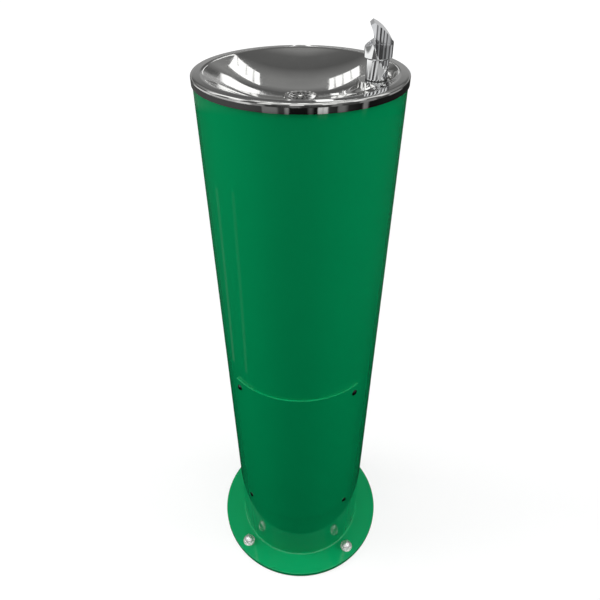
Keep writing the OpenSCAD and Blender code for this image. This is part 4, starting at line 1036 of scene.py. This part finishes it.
class Stage(bpy.types.Operator):
    """Camera, pale floor, soft lights and reflection cards"""
    bl_idname = "fountain.stage"
    bl_label = "Studio"

    def execute(self, context):
        self.camera(context)
        self.floor()
        self.world(context)
        self.lamps(context)
        self.room()
        self.windows()
        self.bands()
        return {"FINISHED"}

    def camera(self, context):
        """The photograph's viewpoint: degrees from the front and downwards, metres from the axis and the floor."""
        turn, down, away, height = math.radians(3.5), 39.35, 0.63244, 1.08426
        bpy.ops.object.camera_add(location=(away * math.sin(turn), -away * math.cos(turn), height),
                                  rotation=(math.radians(90 - down), 0, turn))
        cam = context.object
        cam.data.sensor_width = 36
        cam.data.lens = 30.44
        cam.data.shift_x = -0.0007
        cam.data.shift_y = 0.0210
        context.scene.camera = cam

    def floor(self):
        """A pale floor whose glow grows with the distance, so that it is white far off and keeps the shadow."""
        near, far, near_glow, far_glow, grey, bounce = 0.7, 5.0, 0.66, 0.98, 0.36, 0.1
        clear_selection()
        bpy.ops.mesh.primitive_plane_add(size=60, location=(0, 0, -0.0005))
        ground = bpy.context.object
        ground.name = "studio_floor"
        mat, tree = bare_material("pale_studio_floor")
        matt = add(tree, "ShaderNodeBsdfDiffuse", {"Color": (grey, grey, grey, 1)})
        dim = add(tree, "ShaderNodeBsdfDiffuse", {"Color": (bounce, bounce, bounce, 1)})
        place = add(tree, "ShaderNodeTexCoord")
        away = add(tree, "ShaderNodeVectorMath", {"operation": "LENGTH"}, {0: place.outputs["Object"]})
        strength = add(tree, "ShaderNodeMapRange",
                       {"From Min": near, "From Max": far, "To Min": near_glow, "To Max": far_glow},
                       {"Value": away.outputs["Value"]})
        white = add(tree, "ShaderNodeEmission", None, {"Strength": strength.outputs["Result"]})
        both = add(tree, "ShaderNodeAddShader", None, {0: matt.outputs["BSDF"], 1: white.outputs["Emission"]})
        mix = add(tree, "ShaderNodeMixShader", None,
                  {0: looked_at(tree), 1: dim.outputs["BSDF"], 2: both.outputs["Shader"]})
        add(tree, "ShaderNodeOutputMaterial", None, {"Surface": mix.outputs["Shader"]})
        ground.data.materials.append(mat)

    def world(self, context):
        """A white background to the eye that lights the object softly."""
        world = bpy.data.worlds.new("studio_world")
        context.scene.world = world
        world.use_nodes = True
        tree = world.node_tree
        tree.nodes.clear()
        soft = add(tree, "ShaderNodeBackground", {"Color": (1, 1, 1, 1), "Strength": 0.28})
        white = add(tree, "ShaderNodeBackground", {"Color": (1, 1, 1, 1), "Strength": 1.0})
        mix = add(tree, "ShaderNodeMixShader", None,
                  {0: looked_at(tree), 1: soft.outputs["Background"], 2: white.outputs["Background"]})
        add(tree, "ShaderNodeOutputWorld", None, {"Surface": mix.outputs["Shader"]})

    def lamps(self, context):
        """Soft boxes aimed at the column, by name, place, size and power."""
        aim = Vector((0, 0, 0.6))
        for name, place, size, power in (("softbox_left", (-2.6, -0.1, 2.0), 1.4, 45.0),
                                         ("softbox_right", (2.6, -0.1, 2.0), 1.4, 31.0),
                                         ("softbox_front", (0.2, -3.0, 2.0), 1.4, 18.0),
                                         ("softbox_top", (0.0, -0.35, 3.2), 2.0, 42.0)):
            bpy.ops.object.light_add(type="AREA", location=place)
            lamp = context.object
            lamp.name = name
            lamp.data.size = size
            lamp.data.energy = power
            lamp.rotation_euler = (aim - Vector(place)).to_track_quat("-Z", "Y").to_euler()
            lamp.visible_glossy = False

    def room(self):
        """Walls, floor and ceiling as the metal mirrors them, their levels by height or distance in metres."""
        back, front, side, top, wide, corner = 2.6, -5.0, 4.0, 9.0, 6.0, -1.2
        for name, a, b, levels in (
                ("back_wall", (-wide, back), (wide, back),
                 ((0.4, 0.02), (1.0, 0.3), (1.3, 0.4), (1.55, 0.4), (1.7, 0.15), (1.95, 0.13), (2.4, 0.34), (3.1, 0.32),
                  (4.2, 0.15), (6.0, 0.18), (7.5, 0.34))),
                ("front_wall", (-wide, front), (wide, front),
                 ((0.0, 0.05), (1.5, 0.05), (3.0, 0.15), (4.2, 0.7), (5.0, 0.9))),
                ("left_wall", (-side, corner), (-side, back),
                 ((1.5, 0.1), (3.0, 0.4), (5.0, 2.2), (6.5, 2.2), (7.2, 0.5), (9.0, 0.4))),
                ("left_corner", (-side, front), (-side, corner), ((1.5, 0.05), (4.0, 0.15), (9.0, 0.5))),
                ("right_wall", (side, front), (side, back),
                 ((1.5, 0.15), (3.0, 0.4), (5.0, 1.4), (6.5, 1.4), (7.2, 0.3)))):
            card(name, upright(a, b, 0, top), levels, reach=(0.0, top))
        card("ceiling", lying((-wide, front), (wide, back), top), 0.9)
        pitch, width, glow = 1.2, 0.7, 2.4
        for i in range(9):
            x = -5.0 + pitch * i
            card(f"ceiling_light_{i}", lying((x, -1.0), (x + width, back - 0.4), top - 0.1), glow)
        # the floor as the metal mirrors it is dark all over, and darkest within a metre of the object: a painted shadow
        card("dark_floor", lying((-wide, -wide), (wide, back), 0.0002),
             ((0.5, 0.004), (1.0, 0.015), (2.0, 0.02), (2.6, 0.02)), reach=(0.0, 4.0), round_axis=True)
        near, far, lift = 0.6, 1.8, 0.0004
        for i, (turn, half) in enumerate(((-108, 3.0), (-78, 2.5))):
            card(f"floor_streak_{i}", [(*polar(near, turn - half), lift), (*polar(near, turn + half), lift),
                                       (*polar(far, turn + half), lift), (*polar(far, turn - half), lift)], 0.1)

    def windows(self):
        """The windows behind the bowl, which the dish mirrors, with the low one for the guard's curved back."""
        y, glow, strip_glow = 2.5, 2.0, 1.8
        for name, corners, light in (
                ("window_left", ((0.48, 2.73), (0.05, 2.19), (0.28, 3.10), (0.92, 3.86)), glow),
                ("window_right", ((-0.42, 2.90), (-0.27, 2.04), (-0.57, 2.50), (-0.86, 3.27)), glow),
                ("low_strip_left", ((0.20, 2.04), (0.17, 2.08), (-0.05, 1.76), (-0.15, 1.30)), strip_glow),
                ("low_strip_right", ((-0.22, 1.70), (-0.16, 1.28), (-0.11, 1.10), (-0.24, 1.60)), strip_glow)):
            card(name, [(x, y, z) for x, z in corners], light)
        card("window_low", upright((0.36, 2.25), (0.68, 2.25), 0.58, 1.2), 0.55)
        bar, bar_y, bar_glow = 0.007, y - 0.05, 0.8
        for i, (x0, z0, x1, z1) in enumerate(((0.49, 2.98, 0.85, 3.78), (0.26, 2.58, 0.55, 3.42),
                                              (0.11, 2.26, 0.39, 3.23), (-0.30, 2.07, -0.475, 2.93),
                                              (-0.36, 2.17, -0.585, 3.04), (-0.465, 2.36, -0.70, 3.13))):
            card(f"window_bar_{i}", [(x0 - bar, bar_y, z0), (x0 + bar, bar_y, z0), (x1 + bar, bar_y, z1),
                                     (x1 - bar, bar_y, z1)], bar_glow)

    def bands(self):
        """Posts in front, which stripe the stem by way of the rim, and the bands for skirt, head and guard."""
        away, half, low, high = 3.2, 7, 0.7, 3.4
        for i, turn in enumerate(range(-96, 100, 32)):
            card(f"front_post_{i}", upright(polar(away, turn - half), polar(away, turn + half), low, high),
                 ((low, 0.0), (1.6, 1.4)), reach=(low, high))
        ring_card("skirt_band", 0.15, 0.35, SKIRT_BAND, foot=0.05)
        ring_card("head_band", 0.35, 0.495, HEAD_BAND)
        ring_card("guard_band", 0.495, 0.68, GUARD_BAND, crown=0.09)


class FountainPanel(bpy.types.Panel):
    """The fountain's pieces and sizes in the sidebar"""
    bl_idname = "VIEW3D_PT_fountain"
    bl_label = "Drinking fountain"
    bl_space_type = "VIEW_3D"
    bl_region_type = "UI"
    bl_category = "Fountain"

    def draw(self, context):
        for piece in PIECES:
            self.layout.operator(piece.bl_idname)
        scene = context.scene
        for group in (scene.pedestal_sizes, scene.bowl_sizes, scene.fountain_colours):
            for key in group.__annotations__:
                self.layout.prop(group, key)


PIECES = (Stage, InnerFinishes, FloorPlate, Column, AccessPanel, PanelScrews, AnchorWashers, AnchorNuts, Bowl,
          BowlScrews, Strainer, StrainerScrew, Stem, ReturnSpring, PressHead, MouthGuard, Nozzle)
CLASSES = (PedestalSizes, BowlSizes, FountainColours) + PIECES + (FountainPanel,)


def register():
    for cls in CLASSES:
        bpy.utils.register_class(cls)
    bpy.types.Scene.pedestal_sizes = bpy.props.PointerProperty(type=PedestalSizes)
    bpy.types.Scene.bowl_sizes = bpy.props.PointerProperty(type=BowlSizes)
    bpy.types.Scene.fountain_colours = bpy.props.PointerProperty(type=FountainColours)


def unregister():
    del bpy.types.Scene.fountain_colours
    del bpy.types.Scene.bowl_sizes
    del bpy.types.Scene.pedestal_sizes
    for cls in reversed(CLASSES):
        bpy.utils.unregister_class(cls)


def main():
    register()
    bpy.context.scene.view_settings.view_transform = "Standard"
    bpy.ops.fountain.stage()
    bpy.ops.fountain.inner_finishes()
    bpy.ops.fountain.floor_plate()
    bpy.ops.fountain.column()
    bpy.ops.fountain.access_panel()
    bpy.ops.fountain.panel_screws()
    bpy.ops.fountain.anchor_washers()
    bpy.ops.fountain.anchor_nuts()
    bpy.ops.fountain.bowl()
    bpy.ops.fountain.bowl_screws()
    bpy.ops.fountain.strainer()
    bpy.ops.fountain.strainer_screw()
    bpy.ops.fountain.stem()
    bpy.ops.fountain.return_spring()
    bpy.ops.fountain.press_head()
    bpy.ops.fountain.mouth_guard()
    bpy.ops.fountain.nozzle()
    clear_selection()


if __name__ == "__main__":
    main()
